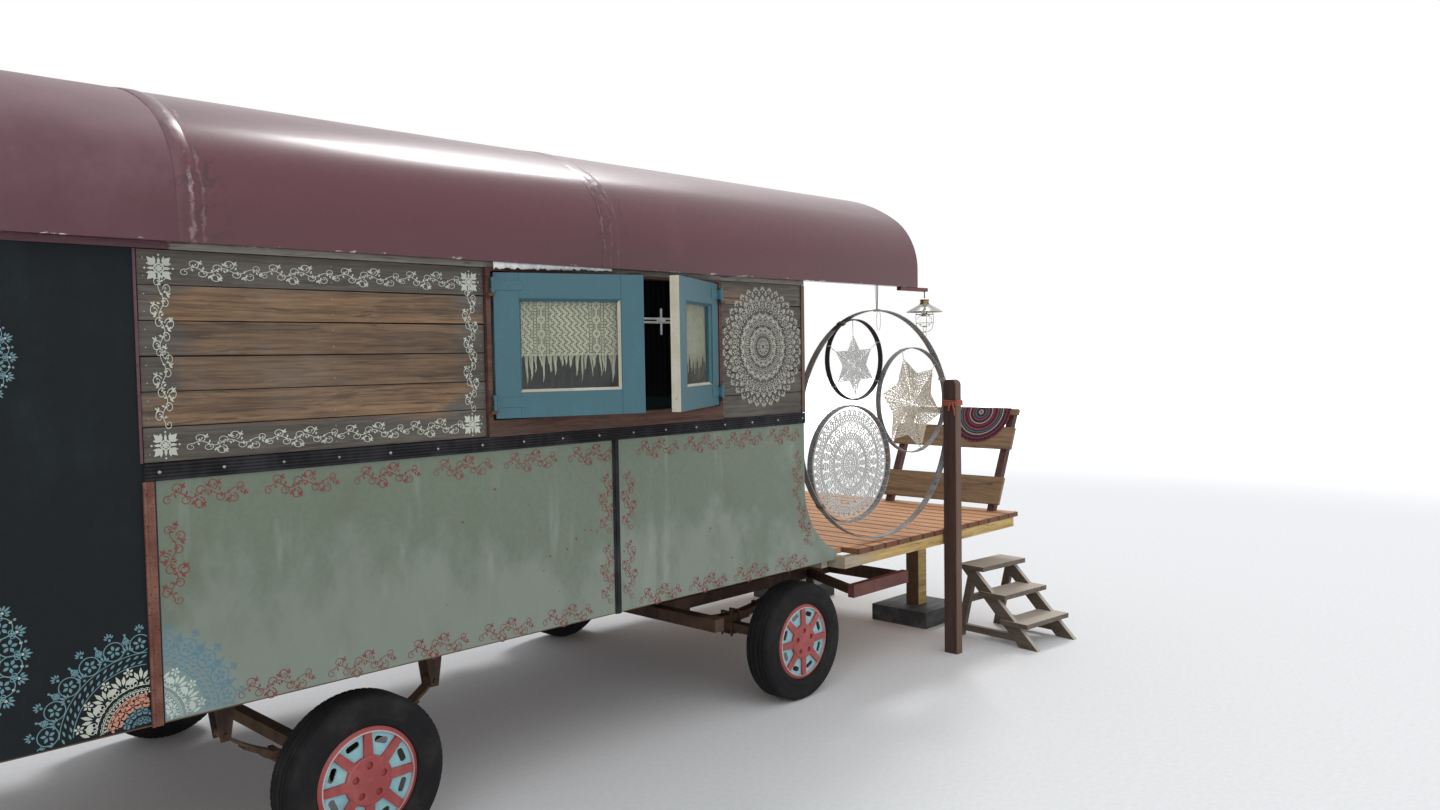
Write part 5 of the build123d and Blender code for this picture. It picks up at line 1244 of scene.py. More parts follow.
SASHES = {"rear": (-1.877, 1, -20), "front": (-0.628, -1, 29)}
SASH_OUT = -(HALF + 0.015)
SASH_IN = SASH_OUT + 0.038
HINGE_Y = -(HALF + 0.030)
SASH_LOW, SASH_HIGH, SASH_WIDTH, SASH_RAIL = 1.546, 2.102, 0.6135, 0.098
HINGE_HEIGHTS = (1.607, 2.053)
LACE_Y, LACE_TOP, FRINGE_TOP = SASH_IN + 0.0026, 2.020, 1.787
LACE_FROM, LACE_TO = 0.088, 0.538
TEAL, CREAM = 0, 1


def sash_shape(hinge, toward):
    """Shut sash of the right-hand side: stiles, rails, putty, hinge straps and barrels."""
    x0, x1 = hinge + toward * 0.006, hinge + toward * (0.006 + SASH_WIDTH)
    a, b = x0 + toward * SASH_RAIL, x1 - toward * SASH_RAIL
    z0, z1, c, d = SASH_LOW, SASH_HIGH, SASH_LOW + SASH_RAIL, SASH_HIGH - SASH_RAIL
    free = 5 if toward > 0 else 4
    stile = [TEAL, TEAL, TEAL, CREAM, TEAL, TEAL]
    made = Shape().block(x0, a, SASH_OUT, SASH_IN, z0, z1, stile)
    made.block(b, x1, SASH_OUT, SASH_IN, z0, z1, [CREAM if i == free else stile[i] for i in range(6)])
    for low, high in ((z0, c), (d, z1)):
        made.block(a + toward * 0.0004, b - toward * 0.0004, SASH_OUT + 0.0006, SASH_IN - 0.0006, low, high, stile)
    made.block(x1 - toward * 0.0190, x1 + toward * 0.0045, SASH_IN - 0.012, SASH_IN + 0.0002, z0 + 0.002, z1 - 0.002,
               CREAM)
    front, glass, lap = SASH_OUT + 0.007, SASH_OUT + 0.0168, 0.011
    for (u0, v0), (u1, v1), (du, dv), finish in (
            ((a, c), (b, c), (0, 1), CREAM), ((a, d), (b, d), (0, -1), TEAL),
            ((a, c), (a, d), (toward, 0), TEAL), ((b, c), (b, d), (-toward, 0), CREAM)):
        points = []
        for u, v, in_u, in_v in ((u0, v0, 1, 1), (u1, v1, -1, -1)):
            mitre_u, mitre_v = (lap * in_u * toward, 0) if du == 0 else (0, lap * in_v)
            points += [(u, front, v), (u, glass, v), (u + du * lap + mitre_u, glass, v + dv * lap + mitre_v)]
        made.add(points, [(0, 1, 2), (3, 5, 4), (0, 3, 4, 1), (1, 4, 5, 2), (0, 2, 5, 3)], finish)
    for z in HINGE_HEIGHTS:
        made.block(x0, hinge + toward * 0.118, SASH_OUT - 0.0028, SASH_OUT + 0.001, z - 0.019, z + 0.019, TEAL)
        made.block(x0, hinge + toward * 0.016, HINGE_Y - 0.002, SASH_OUT, z - 0.021, z + 0.021, TEAL)
        path = [(hinge, HINGE_Y, z + h) for h in (-0.030, -0.0285, -0.011, -0.0105, 0.0105, 0.011, 0.0285, 0.030)]
        made.tube(path, [0.0075, 0.009, 0.009, 0.0078, 0.0078, 0.009, 0.009, 0.0075], 14, TEAL)
        for u in (0.034, 0.064, 0.098):
            x = hinge + toward * u
            side = 0.008 if u != 0.064 else -0.008
            made.tube([(x, SASH_OUT - 0.001, z + side), (x, SASH_OUT - 0.0034, z + side)], 0.0042, 8, TEAL)
    return made


def ripple(shape, depth):
    """Bend a hanging lace a little, as cloth hangs."""
    for point in shape.points:
        drop = (2.022 - point.z) / 0.25
        point.y += depth * (0.3 + 0.7 * max(0.0, drop)) * (1 + sin(point.x * 46) * 0.6 + sin(point.x * 21))
    return shape


def lace_cell(column, level, columns):
    """Whether a square of the curtain's net is worked solid."""
    for middle in (columns // 4, 3 * columns // 4 + 1):
        off = column - middle
        if abs(off) <= 5:
            if abs(off) == 5:
                return False
            if abs(off) == 4:
                return level % 2 == 0
            turn = level % 9 - 4
            reach = abs(off) + abs(turn)
            return (reach in (2, 3) and abs(off) != abs(turn) + 3) or (off == 0 and abs(turn) == 4)
    return (column + level) % 4 in (0, 1) if (level // 3) % 2 else (column - level) % 4 in (0, 1)


def curtain_net(x0, x1, pitch, radius):
    """Filet lace of one sash, in its shut place."""
    columns, levels = round((x1 - x0) / pitch), round(0.236 / pitch)
    low, wide = LACE_TOP - levels * pitch, (x1 - x0) / columns
    upright = Shape().tube([(0, 0, low + (LACE_TOP - low) * i / 11) for i in range(12)], radius, 4)
    level = Shape().tube([(x0 + (x1 - x0) * i / 44, 0, 0) for i in range(45)], radius, 4)
    made = row(upright, "lace_cream", columns + 1, (x0, LACE_Y, 0), (wide, 0, 0))
    made.merge(row(level, "lace_cream", levels + 1, (0, LACE_Y, low), (0, 0, pitch)))
    for column in range(columns):
        for step in range(levels):
            if lace_cell(column, step, columns):
                u, v = x0 + column * wide, low + step * pitch
                made.block(u, u + wide, LACE_Y - 0.0007, LACE_Y + 0.0007, v, v + pitch)
    return made


def curtain_fringe(x0, x1, length, seed):
    """Uneven, clumped fringe below the lace."""
    chance = random.Random(seed)
    made = Shape()
    x = x0 + 0.002
    while x < x1 - 0.004:
        clump, tip = chance.randint(3, 6), x + chance.uniform(-0.004, 0.020)
        drop = length * chance.uniform(0.45, 1.15)
        for index in range(clump):
            start = min(x + index * 0.0042, x1 - 0.002)
            fall = drop * chance.uniform(0.72, 1.0)
            path = []
            for i in range(9):
                share = i / 8
                pull = share ** 0.7 * 0.75
                sway = 0.0022 * sin(share * 9 + chance.random() * 2) * share
                u = start + (tip - start) * pull + sway
                path.append((max(x0, min(x1, u)), LACE_Y + 0.0012 * sin(index + share * 5),
                             FRINGE_TOP + 0.004 - fall * share))
            made.tube(path, [0.0013] * 7 + [0.0010, 0.0006], 4)
        x += clump * 0.0042 + chance.uniform(0.0, 0.003)
    return made


# Wheels


def tyre_shape(x):
    """Tyre of the right-hand side, with four grooves in its tread."""
    side_wall = [(0.1906, 0.0570), (0.1950, 0.0680), (0.2040, 0.0745), (0.2150, 0.0768), (0.2170, 0.0784),
                 (0.2200, 0.0770), (0.2380, 0.0790), (0.2560, 0.0798), (0.2580, 0.0800), (0.2600, 0.0788),
                 (0.2760, 0.0768), (0.2860, 0.0728), (0.2925, 0.0670), (0.2965, 0.0590), (0.2985, 0.0520)]
    tread = []
    for y in (0.0450, 0.0215):
        tread += [(0.3000, y), (0.2930, y - 0.0015), (0.2930, y - 0.0065), (0.3000, y - 0.0080)]
    half = side_wall + tread
    outline = half + [(r, -y) for r, y in reversed(half)]
    rows = [[(x + r * sin(a), y - WHEEL_Y, WHEEL_Z + r * cos(a)) for r, y in outline] for a in angles(96)]
    made = Shape().grid(rows + [rows[0]], around=True)
    lug = Shape()
    for side in (-1, 1):
        lug.block(-0.0085, 0.0085, side * 0.0475, side * 0.0560, 0.2900, 0.2992)
        lug.block(-0.0085, 0.0085, side * 0.0480, side * 0.0640, 0.2900, 0.2950)
        lug.block(-0.0080, 0.0080, side * 0.0240, side * 0.0350, 0.2950, 0.2999)
    return made.merge(ring(lug, "tyre_rubber", 72, (x, -WHEEL_Y, WHEEL_Z)))


# Hoops and crochet

HOOP_PLACE = Matrix.Translation(HOOP_MIDDLE) @ Matrix.Rotation(radians(-5), 4, "Z")
HOOPS = {
    # radius, band width, angle from the large hoop's middle, star's reach, drop, turn and waist
    "small": (0.218, 0.030, 118, 0.158, 0.030, 93, 0.57),
    "medium": (0.300, 0.032, 22, 0.266, 0.022, 106, 0.66),
    "low": (0.316, 0.036, 221, 0.0, 0.0, 0, 0.0),
}


def hoop_middle(name):
    radius, _, angle = HOOPS[name][:3]
    return polar(0, 0, LARGE_HOOP - BAND - 0.0003 - radius, radians(angle))


def star_reach(angle, reach, turn, waist):
    """How far a six-pointed star goes in one direction, in degrees."""
    off = (angle - turn) % 60
    off = radians(min(off, 60 - off))
    du, dv = waist * reach * cos(pi / 6) - reach, waist * reach * sin(pi / 6)
    return reach * dv / (cos(off) * dv - sin(off) * du)


def crochet_web(u, v, edge, rows, spokes, radius, seed):
    """Rounds of crochet between radial stitches; edge gives the outline by angle in degrees."""
    chance = random.Random(seed)
    made = Shape()

    def stitch(share, j):
        a = 360 * j / spokes
        x, z = polar(u, v, edge(a) * share, radians(a))
        return x, 0.0009 * sin(j * 2.1 + share * 40), z

    for k in range(1, rows + 1):
        share, wave = k / rows, 0.22 / rows if k < rows else 0.0
        step = 1 if share > 0.42 else 2 if share > 0.20 else 4
        path = [stitch(share + wave * (1 if (j // step) % 2 else -1) + chance.uniform(-0.06, 0.06) / rows, j)
                for j in range(0, spokes, step)]
        made.tube(path, radius * (1.25 if k % 4 == 0 else 0.95), 4, closed=True)
    for j in range(spokes):
        first = 1 if j % 4 == 0 else round(0.20 * rows) if j % 2 == 0 else round(0.42 * rows)
        made.tube([stitch((k + 0.5 * (k % 2)) / rows if k < rows else 1.0, j + 0.5 * (k % 2))
                   for k in range(first, rows + 1)], radius, 4)
    return made


def arch(radius, spread, rise, thick):
    """Loop of thread between two places of a round, bulging outwards; spread is in degrees."""
    path = []
    for i in range(7):
        a, r = radians(spread * (i / 6 - 0.5)), radius + rise * sin(pi * i / 6)
        path.append((r * sin(a), 0.0, r * cos(a)))
    return Shape().tube(path, thick, 4)


def pineapple(low, high, half, thick, bars):
    """Leaf of crochet: a pointed outline with bars across."""
    side = [(half * sin(pi * i / 8) ** 0.8, 0, low + (high - low) * i / 8) for i in range(1, 8)]
    path = [(0, 0, low), *side, (0, 0, high), *((-x, 0, z) for x, _, z in reversed(side))]
    leaf = Shape().tube(path, thick, 4, closed=True)
    for k in range(1, bars + 1):
        share = k / (bars + 1)
        wide = half * sin(pi * share) ** 0.8
        leaf.tube([(-wide, 0, low + (high - low) * share), (wide, 0, low + (high - low) * share)], thick, 4)
    return leaf


DOILY = (
    # kind, radius, outer radius or rise, half width or spread in degrees, copies
    ("round", 0.008, 0, 0, 1), ("round", 0.018, 0, 0, 1), ("leaf", 0.018, 0.052, 0.0075, 12),
    ("round", 0.053, 0, 0, 1), ("arch", 0.053, 0.011, 12, 30), ("arch", 0.065, 0.011, 12, 30),
    ("leaf", 0.076, 0.124, 0.0140, 16), ("round", 0.125, 0, 0, 1), ("round", 0.132, 0, 0, 1),
    ("arch", 0.132, 0.011, 8, 45), ("arch", 0.144, 0.011, 7.2, 50), ("arch", 0.156, 0.011, 6.7, 54),
    ("leaf", 0.168, 0.222, 0.0190, 24), ("round", 0.223, 0, 0, 1), ("round", 0.230, 0, 0, 1),
    ("arch", 0.230, 0.011, 5, 72), ("arch", 0.242, 0.011, 5, 72), ("arch", 0.254, 0.011, 4.5, 80),
    ("leaf", 0.262, 0.288, 0.0090, 44), ("round", 0.289, 0, 0, 1),
)


def doily(thick):
    """Round lace of arches and leaves about its own middle."""
    made = Shape()
    for number, (kind, radius, reach, width, count) in enumerate(DOILY):
        if kind == "round":
            made.tube([(radius * sin(a), 0.0, radius * cos(a)) for a in angles(72)], thick, 4, closed=True)
            continue
        unit = arch(radius, width, reach, thick) if kind == "arch" else pineapple(
            radius, reach, width, thick, 3 if width > 0.01 else 1)
        made.merge(ring(unit, "yarn_white", count, (0, 0, 0), (number % 2) * 180 / count))
    return made


def thread(start, end, radius=0.0012):
    """Twine between two points."""
    return Shape().tube([Vector(start).lerp(Vector(end), i / 6) for i in range(7)], radius, 5)


def band_wrap(radius, width, grow=0.0016, twine=0.0011):
    """Twine once round a hoop's band, at its top."""
    y, low, high = width / 2 + grow, radius - BAND - grow, radius + grow
    return Shape().tube([(0, -y, low), (0, y, low), (0, y, high), (0, -y, high)], twine, 5, closed=True)


def hoop_threads():
    """Threads from the stars' points to their hoops, lacing of the doily, and lashings between hoops."""
    made = Shape()
    for name, (radius, width, angle, reach, drop, turn, _) in HOOPS.items():
        u, v = hoop_middle(name)
        centre = Matrix.Translation((u, 0, v))
        for index in range(6 if reach else 0):
            a = radians(turn + 60 * index)
            inside = radius - BAND - 0.001
            away = drop * sin(a) + sqrt(inside**2 - (drop * cos(a)) ** 2)
            x, z = polar(u, v - drop, reach - 0.004, a)
            for spread in (-0.012, 0.013):
                b = atan2(away * sin(a) - drop, away * cos(a)) + spread * 0.2 / radius
                foot_x, foot_z = polar(u, v, inside, b)
                made.merge(thread((x, 0.0, z), (foot_x, 0.0, foot_z), 0.0011))
                made.merge(band_wrap(radius, width), centre @ Matrix.Rotation(pi / 2 - b, 4, "Y"))
            made.tube([(x + 0.004 * cos(t), 0.003 * sin(t), z + 0.004 * sin(t)) for t in range(6)], 0.0018, 5)
        if not reach:
            lacing = band_wrap(radius, width).merge(thread((0, 0, radius - 0.020), (0.006, 0, radius - BAND)))
            made.merge(ring(lacing, "yarn_white", 44, (0, 0, 0), 3.0), centre)
        lashing = Shape()
        y, low, high = 0.0225, radius - BAND - 0.0022, radius + BAND + 0.0028
        for x in (-0.012, -0.004, 0.004, 0.012):
            lashing.tube([(x, -y, low), (x * 0.4, y, low), (x, y, high), (x * 0.6, -y, high)], 0.0018, 5, closed=True)
        made.merge(lashing, centre @ Matrix.Rotation(radians(90 - angle), 4, "Y"), int(name != "medium"))
    return made


def hanging_strings():
    """Two strings and a loop from the eave to the large hoop."""
    made = Shape()
    top = 2.165 - HOOP_MIDDLE[2]
    for u in (-0.016, 0.010):
        made.merge(thread((u, 0.0, top), (u * 0.4, 0.0, 0.632), 0.0014))
    made.tube([(0.012 + 0.018 * sin(a), 0.0, 0.628 - 0.055 * (1 - cos(a))) for a in angles(18, 17)], 0.0014, 5)
    for shift in (-0.006, 0.0, 0.006):
        made.merge(band_wrap(LARGE_HOOP, 0.040, 0.0018, 0.0016), Matrix.Translation((shift, 0, 0)))
    return made


# Porch

LEAN, CLOTH_Y, BOARD_END = radians(25), -0.740, -0.9250


def rail_point(along, out):
    """Point of the leaning rail: along it from the deck, and out to the front."""
    x = DECK_FRONT - 0.060 + along * sin(LEAN) + out * cos(LEAN)
    return x, DECK_TOP + along * cos(LEAN) - out * sin(LEAN)


def folded_cloth(radius, scallops):
    """Round cloth with a scalloped edge, folded over the top rail."""
    top, back, across, drop = 0.7028, -0.0471, 0.0266, 0.030
    rings = 30
    rows, flats = [], []
    for k in range(rings + 1):
        row_points = []
        for a in angles(scallops * 6):
            edge = radius * (0.972 + 0.028 * abs(sin(a * scallops / 2)) ** 0.6)
            u, v = polar(0, 0, edge * k / rings, a)
            s = v - drop
            ruffle = 0.0011 * sin(a * scallops) * (k / rings) ** 3
            if s <= 0:
                along, out = top + s, back - ruffle
                along += 0.0022 if s > -0.004 else 0.0
            elif s < across:
                along, out = top + 0.0030, back + s
            else:
                along, out = top + across - s, back + across + 0.0012 + ruffle
                along += 0.0020 if s < across + 0.004 else 0.0
            x, z = rail_point(along, out)
            row_points.append((x, CLOTH_Y - u, z))
            flats.append((u, v))
        rows.append(row_points)
    made = Shape().grid(rows, 0, flats, around=True)
    return made.kept(lambda face: min(made.points[p].y for p in face) >= BOARD_END
                     or max(made.flat[p][1] for p in face) <= drop + 0.02)


def post_lashing():
    """Three turns of rope round the post, with two loose ends."""
    made = Shape()
    x0, x1, y0, y1, g = 1.216, 1.274, -1.1953, -1.1053, 0.0048
    corners = [(x0 - g, y0), (x0, y0 - g), (x1, y0 - g), (x1 + g, y0), (x1 + g, y1), (x1, y1 + g * 0.05),
               (x0, y1 + g * 0.05), (x0 - g, y1)]
    chance = random.Random(8)
    for turn in range(3):
        z = 1.466 + turn * 0.0105
        path = []
        for (x, y), (x2, y2) in zip(corners, corners[1:] + corners[:1]):
            for share in (0.0, 0.35, 0.7):
                path.append((x + (x2 - x) * share, y + (y2 - y) * share, z + chance.uniform(-0.002, 0.002)))
        made.tube(path, 0.0052, 8, closed=True)
    made.tube([(x0 - 0.010, y0 + 0.02, 1.478), (x0 - 0.020, y0 + 0.012, 1.470), (x0 - 0.018, y0 + 0.004, 1.440),
               (x0 - 0.022, y0 - 0.002, 1.405)], [0.005, 0.005, 0.0045, 0.003], 8)
    made.tube([(x0 - 0.010, y0 + 0.03, 1.474), (x0 - 0.019, y0 + 0.036, 1.462), (x0 - 0.016, y0 + 0.042, 1.430)],
              [0.005, 0.005, 0.003], 8)
    return made


def deck_nails():
    """Nail heads over the joists."""
    head = Shape().tube([(0, 0, -0.002), (0, 0, 0.0004), (0, 0, 0.0009)], [0.0042, 0.0042, 0.0030], 8)
    made = Shape()
    for y in (-1.074, -0.530, 0.0, 0.530, 1.074):
        for offset in (-0.028, 0.028):
            made.merge(row(head, "screw_head", 14, (0.4390 + 0.059 + offset, y, 0.7302), (BOARD_STEP, 0.0, 0.0)))
    return made


LAMP = Vector((1.062, -1.085, 0.0))


def lamp_point(radius, z, angle):
    return *polar(LAMP.x, LAMP.y, radius, angle), z


def lamp_shade():
    """White cone with a rolled lip, and the brass cap with its collar."""
    outline = [(0.0, 2.0765, 1), (0.0200, 2.0765, 1), (0.0262, 2.0740, 1), (0.0262, 2.0690, 1), (0.0243, 2.0680, 1),
               (0.0243, 2.0560, 1), (0.0275, 2.0540, 1), (0.0275, 2.0490, 1), (0.0300, 2.0470, 0), (0.0650, 2.0270, 0),
               (0.1020, 2.0068, 0), (0.1050, 2.0050, 0), (0.1050, 2.0030, 0), (0.1030, 2.0025, 0), (0.1005, 2.0045, 0),
               (0.0640, 2.0245, 0), (0.0270, 2.0450, 0), (0.0225, 2.0460, 1), (0.0225, 2.0740, 1), (0.0, 2.0742, 1)]
    made = Shape()
    for first, last in zip(outline, outline[1:]):
        made.grid([[lamp_point(r, z, a) for r, z, _ in (first, last)] for a in angles(49, 48)], last[2])
    return made


def lamp_cage():
    """Wire cage round the globe, its rings and the hook's eye."""
    made = Shape()
    profile = [(0.026, 2.040), (0.047, 2.005), (0.051, 1.970), (0.049, 1.935), (0.040, 1.905), (0.020, 1.890)]
    wire = Shape().tube([(r, 0, z) for r, z in profile], 0.0014, 6)
    for i in range(4):
        made.merge(wire, Matrix.Translation(LAMP) @ Matrix.Rotation(pi / 4 + pi * i / 2, 4, "Z"))
    for r, z in ((0.0515, 1.990), (0.050, 1.940), (0.020, 1.890)):
        made.tube([lamp_point(r, z, a) for a in angles(28)], 0.0014, 6, closed=True)
    made.tube([(LAMP.x + 0.016 * cos(a), LAMP.y, 1.874 + 0.016 * sin(a)) for a in angles(18)], 0.0014, 6, closed=True)
    return made


# Sizes and colours


def colour_of(label, words, *levels):
    return FloatVectorProperty(name=label, description=words, default=paint(*levels), subtype="COLOR", size=3, min=0.0,
                               max=1.0)


def length_of(label, words, metres, highest=1.0):
    return FloatProperty(name=label, description=words, default=metres, min=0.0, max=highest, unit="LENGTH",
                         precision=4)


class VardoColours(bpy.types.PropertyGroup):
    """Colours of the painted surfaces."""
    roof: colour_of("Roof", "Glossy paint of the roof sheets", 88, 36, 48)
    roof_faded: colour_of("Worn roof", "Roof paint where it has dulled", 104, 54, 64)
    sheet: colour_of("Side sheets", "Paint of the lower walls", 100, 112, 95)
    sheet_faded: colour_of("Faded sheets", "Lower walls where the sun has bleached them", 114, 126, 110)
    plank: colour_of("Planks", "Bare wood of the upper walls", 150, 118, 86)
    sash: colour_of("Sashes", "Outer faces of the windows", 48, 92, 103)
    sash_faded: colour_of("Faded sashes", "Window paint where it has bleached", 60, 106, 117)
    lace: colour_of("Lace", "Curtains of the windows", 232, 226, 200)
    deck: colour_of("Deck", "Boards of the porch", 226, 168, 116)


class VardoSizes(bpy.types.PropertyGroup):
    """Sizes of the fine detail."""
    dent: length_of("Dents", "Depth of the dents in the roof's rear sheet", 0.0036, 0.006)
    lace_mesh: length_of("Lace mesh", "Pitch of the curtains' net", 0.0062, 0.02)
    lace_thread: length_of("Lace thread", "Radius of the curtains' thread", 0.0012, 0.002)
    fringe: length_of("Fringe", "Length of the curtains' fringe", 0.105, 0.2)
    crochet_thread: length_of("Crochet thread", "Radius of the yarn in the hoops", 0.0022, 0.003)
    cloth_radius: length_of("Cloth radius", "Radius of the round cloth on the rail", 0.2195, 0.22)
    scallops: IntProperty(name="Scallops", description="Scallops round the cloth's edge", default=44, min=8, max=80)


class Maker:
    """Shared by the operators: each can be undone."""
    bl_options = {"REGISTER", "UNDO"}


def both_sides(name, right, finishes, **how):
    """One piece of a shape and its mirror image, on the wagon."""
    return make_piece(name, Shape().merge(right).merge(mirrored(right)), finishes, **how)


class VARDO_OT_finishes(Maker, bpy.types.Operator):
    """Make every material and give the frame's own pieces theirs"""
    bl_idname = "vardo.finishes"
    bl_label = "Finishes"

    def execute(self, context):
        make_materials(context.scene.vardo_colours)
        refine_woods()
        finish_cad()
        return {"FINISHED"}


class VARDO_OT_roof(Maker, bpy.types.Operator):
    """Make the dented roof sheets with their lap and flashing"""
    bl_idname = "vardo.roof"
    bl_label = "Roof"

    def execute(self, context):
        make_piece("roof_skin", roof_skin(context.scene.vardo_sizes.dent), ["roof_paint"], slot="roof_paint",
                   replaces=["roof_sheets"], smooth=38)
        bands = roof_band(-3.004, -2.946, 0.0028, 0.0015, 2.0)
        bands.merge(roof_band(-1.352, -1.262, 0.0016, 0.0022, 9.0))
        make_piece("roof_laps", bands, ["roof_paint"], smooth=50)
        return {"FINISHED"}


class VARDO_OT_sides(Maker, bpy.types.Operator):
    """Make the planks, battens, seam strips, screws and flashing of both sides"""
    bl_idname = "vardo.sides"
    bl_label = "Sides"

    def execute(self, context):
        for index, side in enumerate(SIDES):
            boards = upper_side(random.Random(5 + index))
            boards = boards if side == "right" else mirrored(boards)
            make_piece(f"{side}_planks", boards, ["wall_planks", "wall_lining", "screw_head"],
                       slot="wall_planks", replaces=[f"{side}_upper_wall"], bevel=0.0014)
        both_sides("side_battens", side_trim(), ["batten_copper", "black_rail", "post_wood", "eave_wood"],
                   bevel=0.001)
        both_sides("rail_screws", rail_screws(), ["screw_head"])
        both_sides("eave_flashing", flashing(), ["peeling_strip"], thick=0.0007)
        return {"FINISHED"}


class VARDO_OT_ornaments(Maker, bpy.types.Operator):
    """Paint the stencilled scrolls and mandalas on both sides"""
    bl_idname = "vardo.ornaments"
    bl_label = "Ornaments"

    def execute(self, context):
        both_sides("sheet_scrolls", trimmed(sheet_paint(), 9.0, 0.0), ["stencil_red"], smooth=0)
        both_sides("plank_scrolls", plank_paint(), ["stencil_white", "stencil_worn"], smooth=0)
        tail = trimmed(tail_mandalas(), -3.1135, SHEET_LOW + 0.011)
        both_sides("tail_mandalas", tail, ["stencil_white", "stencil_teal", "stencil_blue", "stencil_orange"], smooth=0)
        both_sides("sheet_mandalas", sheet_mandala(), ["stencil_pale", "stencil_blue"], smooth=0)
        return {"FINISHED"}


class VARDO_OT_windows(Maker, bpy.types.Operator):
    """Make the sashes, lace curtains, curtain rods and the door's blind"""
    bl_idname = "vardo.windows"
    bl_label = "Windows"

    def execute(self, context):
        sizes = context.scene.vardo_sizes
        for number, (end, (hinge, toward, opened)) in enumerate(SASHES.items()):
            swing = turned_about(hinge, HINGE_Y, opened)
            x0, x1 = sorted((hinge + toward * LACE_FROM, hinge + toward * LACE_TO))
            lace = curtain_net(x0, x1, sizes.lace_mesh, sizes.lace_thread)
            lace.merge(curtain_fringe(x0, x1, sizes.fringe, 4 + number))
            ripple(lace, 0.0010)
            for side in SIDES:
                turned = [Shape().merge(shape, swing) for shape in (sash_shape(hinge, toward), lace)]
                sash, net = turned if side == "right" else [mirrored(shape) for shape in turned]
                name = f"{side}_{end}"
                make_piece(f"{name}_sash_trim", sash, ["sash_teal", "sash_cream"], f"{name}_casement", "sash_paint",
                           [f"{name}_sash"], bevel=0.0014)
                known = f"{name}_curtain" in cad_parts
                curtain = make_piece(f"{name}_lace", net, ["lace_cream"], f"{name}_casement",
                                     "curtain_lace" if known else None, [f"{name}_curtain"] if known else ())
        rod = Shape()
        for z in (1.925, 1.941):
            rod.tube([(x, -0.996, z) for x in (-1.060, -0.85, -0.635)], 0.0050, 10)
        rod.tube([(-0.935, -1.001, z) for z in (1.870, 1.900, 1.950, 1.986)], 0.0050, 10)
        rod.tube([(x, -1.001, 1.933) for x in (-0.955, -0.950, -0.920, -0.915)], [0.008, 0.014, 0.014, 0.008], 12)
        both_sides("curtain_rods", rod, ["white_rod"])
        rows = [[(-0.046 - 0.0015 * sin(j * 1.7), -0.236 + 0.472 * j / 40, z) for j in range(41)]
                for z in (1.545, 1.8, 2.05, 2.295)]
        cover = make_piece("door_blind", Shape().grid(rows), ["blind_navy"], "door", thick=0.0012)
        return {"FINISHED"}


class VARDO_OT_wheels(Maker, bpy.types.Operator):
    """Make the worn, grooved tyres"""
    bl_idname = "vardo.wheels"
    bl_label = "Wheels"

    def execute(self, context):
        for end, x in (("front", 0.0), ("rear", -WHEELBASE)):
            tyre = tyre_shape(x)
            for side in SIDES:
                name = f"{side}_{end}"
                make_piece(f"{name}_tread", tyre if side == "right" else mirrored(tyre), ["tyre_rubber"],
                           f"{name}_road_wheel", "tyre", [f"{name}_tyre"], smooth=32)
        return {"FINISHED"}


class VARDO_OT_hoops(Maker, bpy.types.Operator):
    """Work the crochet stars and doily, their threads and the strings they hang from"""
    bl_idname = "vardo.hoops"
    bl_label = "Hoops"

    def execute(self, context):
        thick = context.scene.vardo_sizes.crochet_thread
        made = Shape()
        for name, rows, spokes, yarn_number, grow in (("small", 11, 40, 0, 1.35), ("medium", 17, 60, 1, 1.45)):
            _, _, _, reach, drop, turn, waist = HOOPS[name]
            u, v = hoop_middle(name)
            web = crochet_web(u, v - drop, lambda a: star_reach(a, reach, turn, waist), rows, spokes, thick * grow, 3)
            made.merge(web, HOOP_PLACE, yarn_number)
        u, v = hoop_middle("low")
        made.merge(doily(thick * 1.45), HOOP_PLACE @ Matrix.Translation((u, 0, v)), 0)
        panels = make_piece("crochet_work", made, ["yarn_white", "yarn_cream"], slot="crochet_yarn",
                            replaces=["crochet_panels"])
        make_piece("hoop_threads", Shape().merge(hoop_threads(), HOOP_PLACE), ["yarn_white", "lashing_olive"])
        make_piece("hoop_strings", Shape().merge(hanging_strings(), HOOP_PLACE), ["yarn_cream"])
        return {"FINISHED"}


class VARDO_OT_porch(Maker, bpy.types.Operator):
    """Make the folded cloth, the lamp, the post's lashing and the deck's nails"""
    bl_idname = "vardo.porch"
    bl_label = "Porch"

    def execute(self, context):
        sizes = context.scene.vardo_sizes
        radius = sizes.cloth_radius
        cloth = make_piece("ringed_cloth", folded_cloth(radius, sizes.scallops), ["ring_cloth"],
                           replaces=["rail_cloth"], thick=0.0022, smooth=60)
        make_piece("shade_and_cap", lamp_shade(), ["shade_enamel", "lamp_brass"], slot="shade_enamel",
                   replaces=["lamp_shade"], smooth=30)
        make_piece("lamp_cage", lamp_cage(), ["lamp_brass"])
        make_piece("post_lashing", post_lashing(), ["lashing_rope"])
        make_piece("deck_nails", deck_nails(), ["screw_head"])
        return {"FINISHED"}


LAMPS = (
    # name, strength, width in degrees, where it stands
    ("key", 1.15, 14, (0.519, 0.336, 0.788)), ("fill", 0.90, 80, (-0.4, -0.8, 0.5)),
)
LENS, EYE = 26.875, (-4.233, -4.500, 1.775)
RIGHT, UP, BACK = (0.6894, -0.7240, -0.0161), (0.0444, 0.0204, 0.9988), (-0.7230, -0.6890, 0.0460)


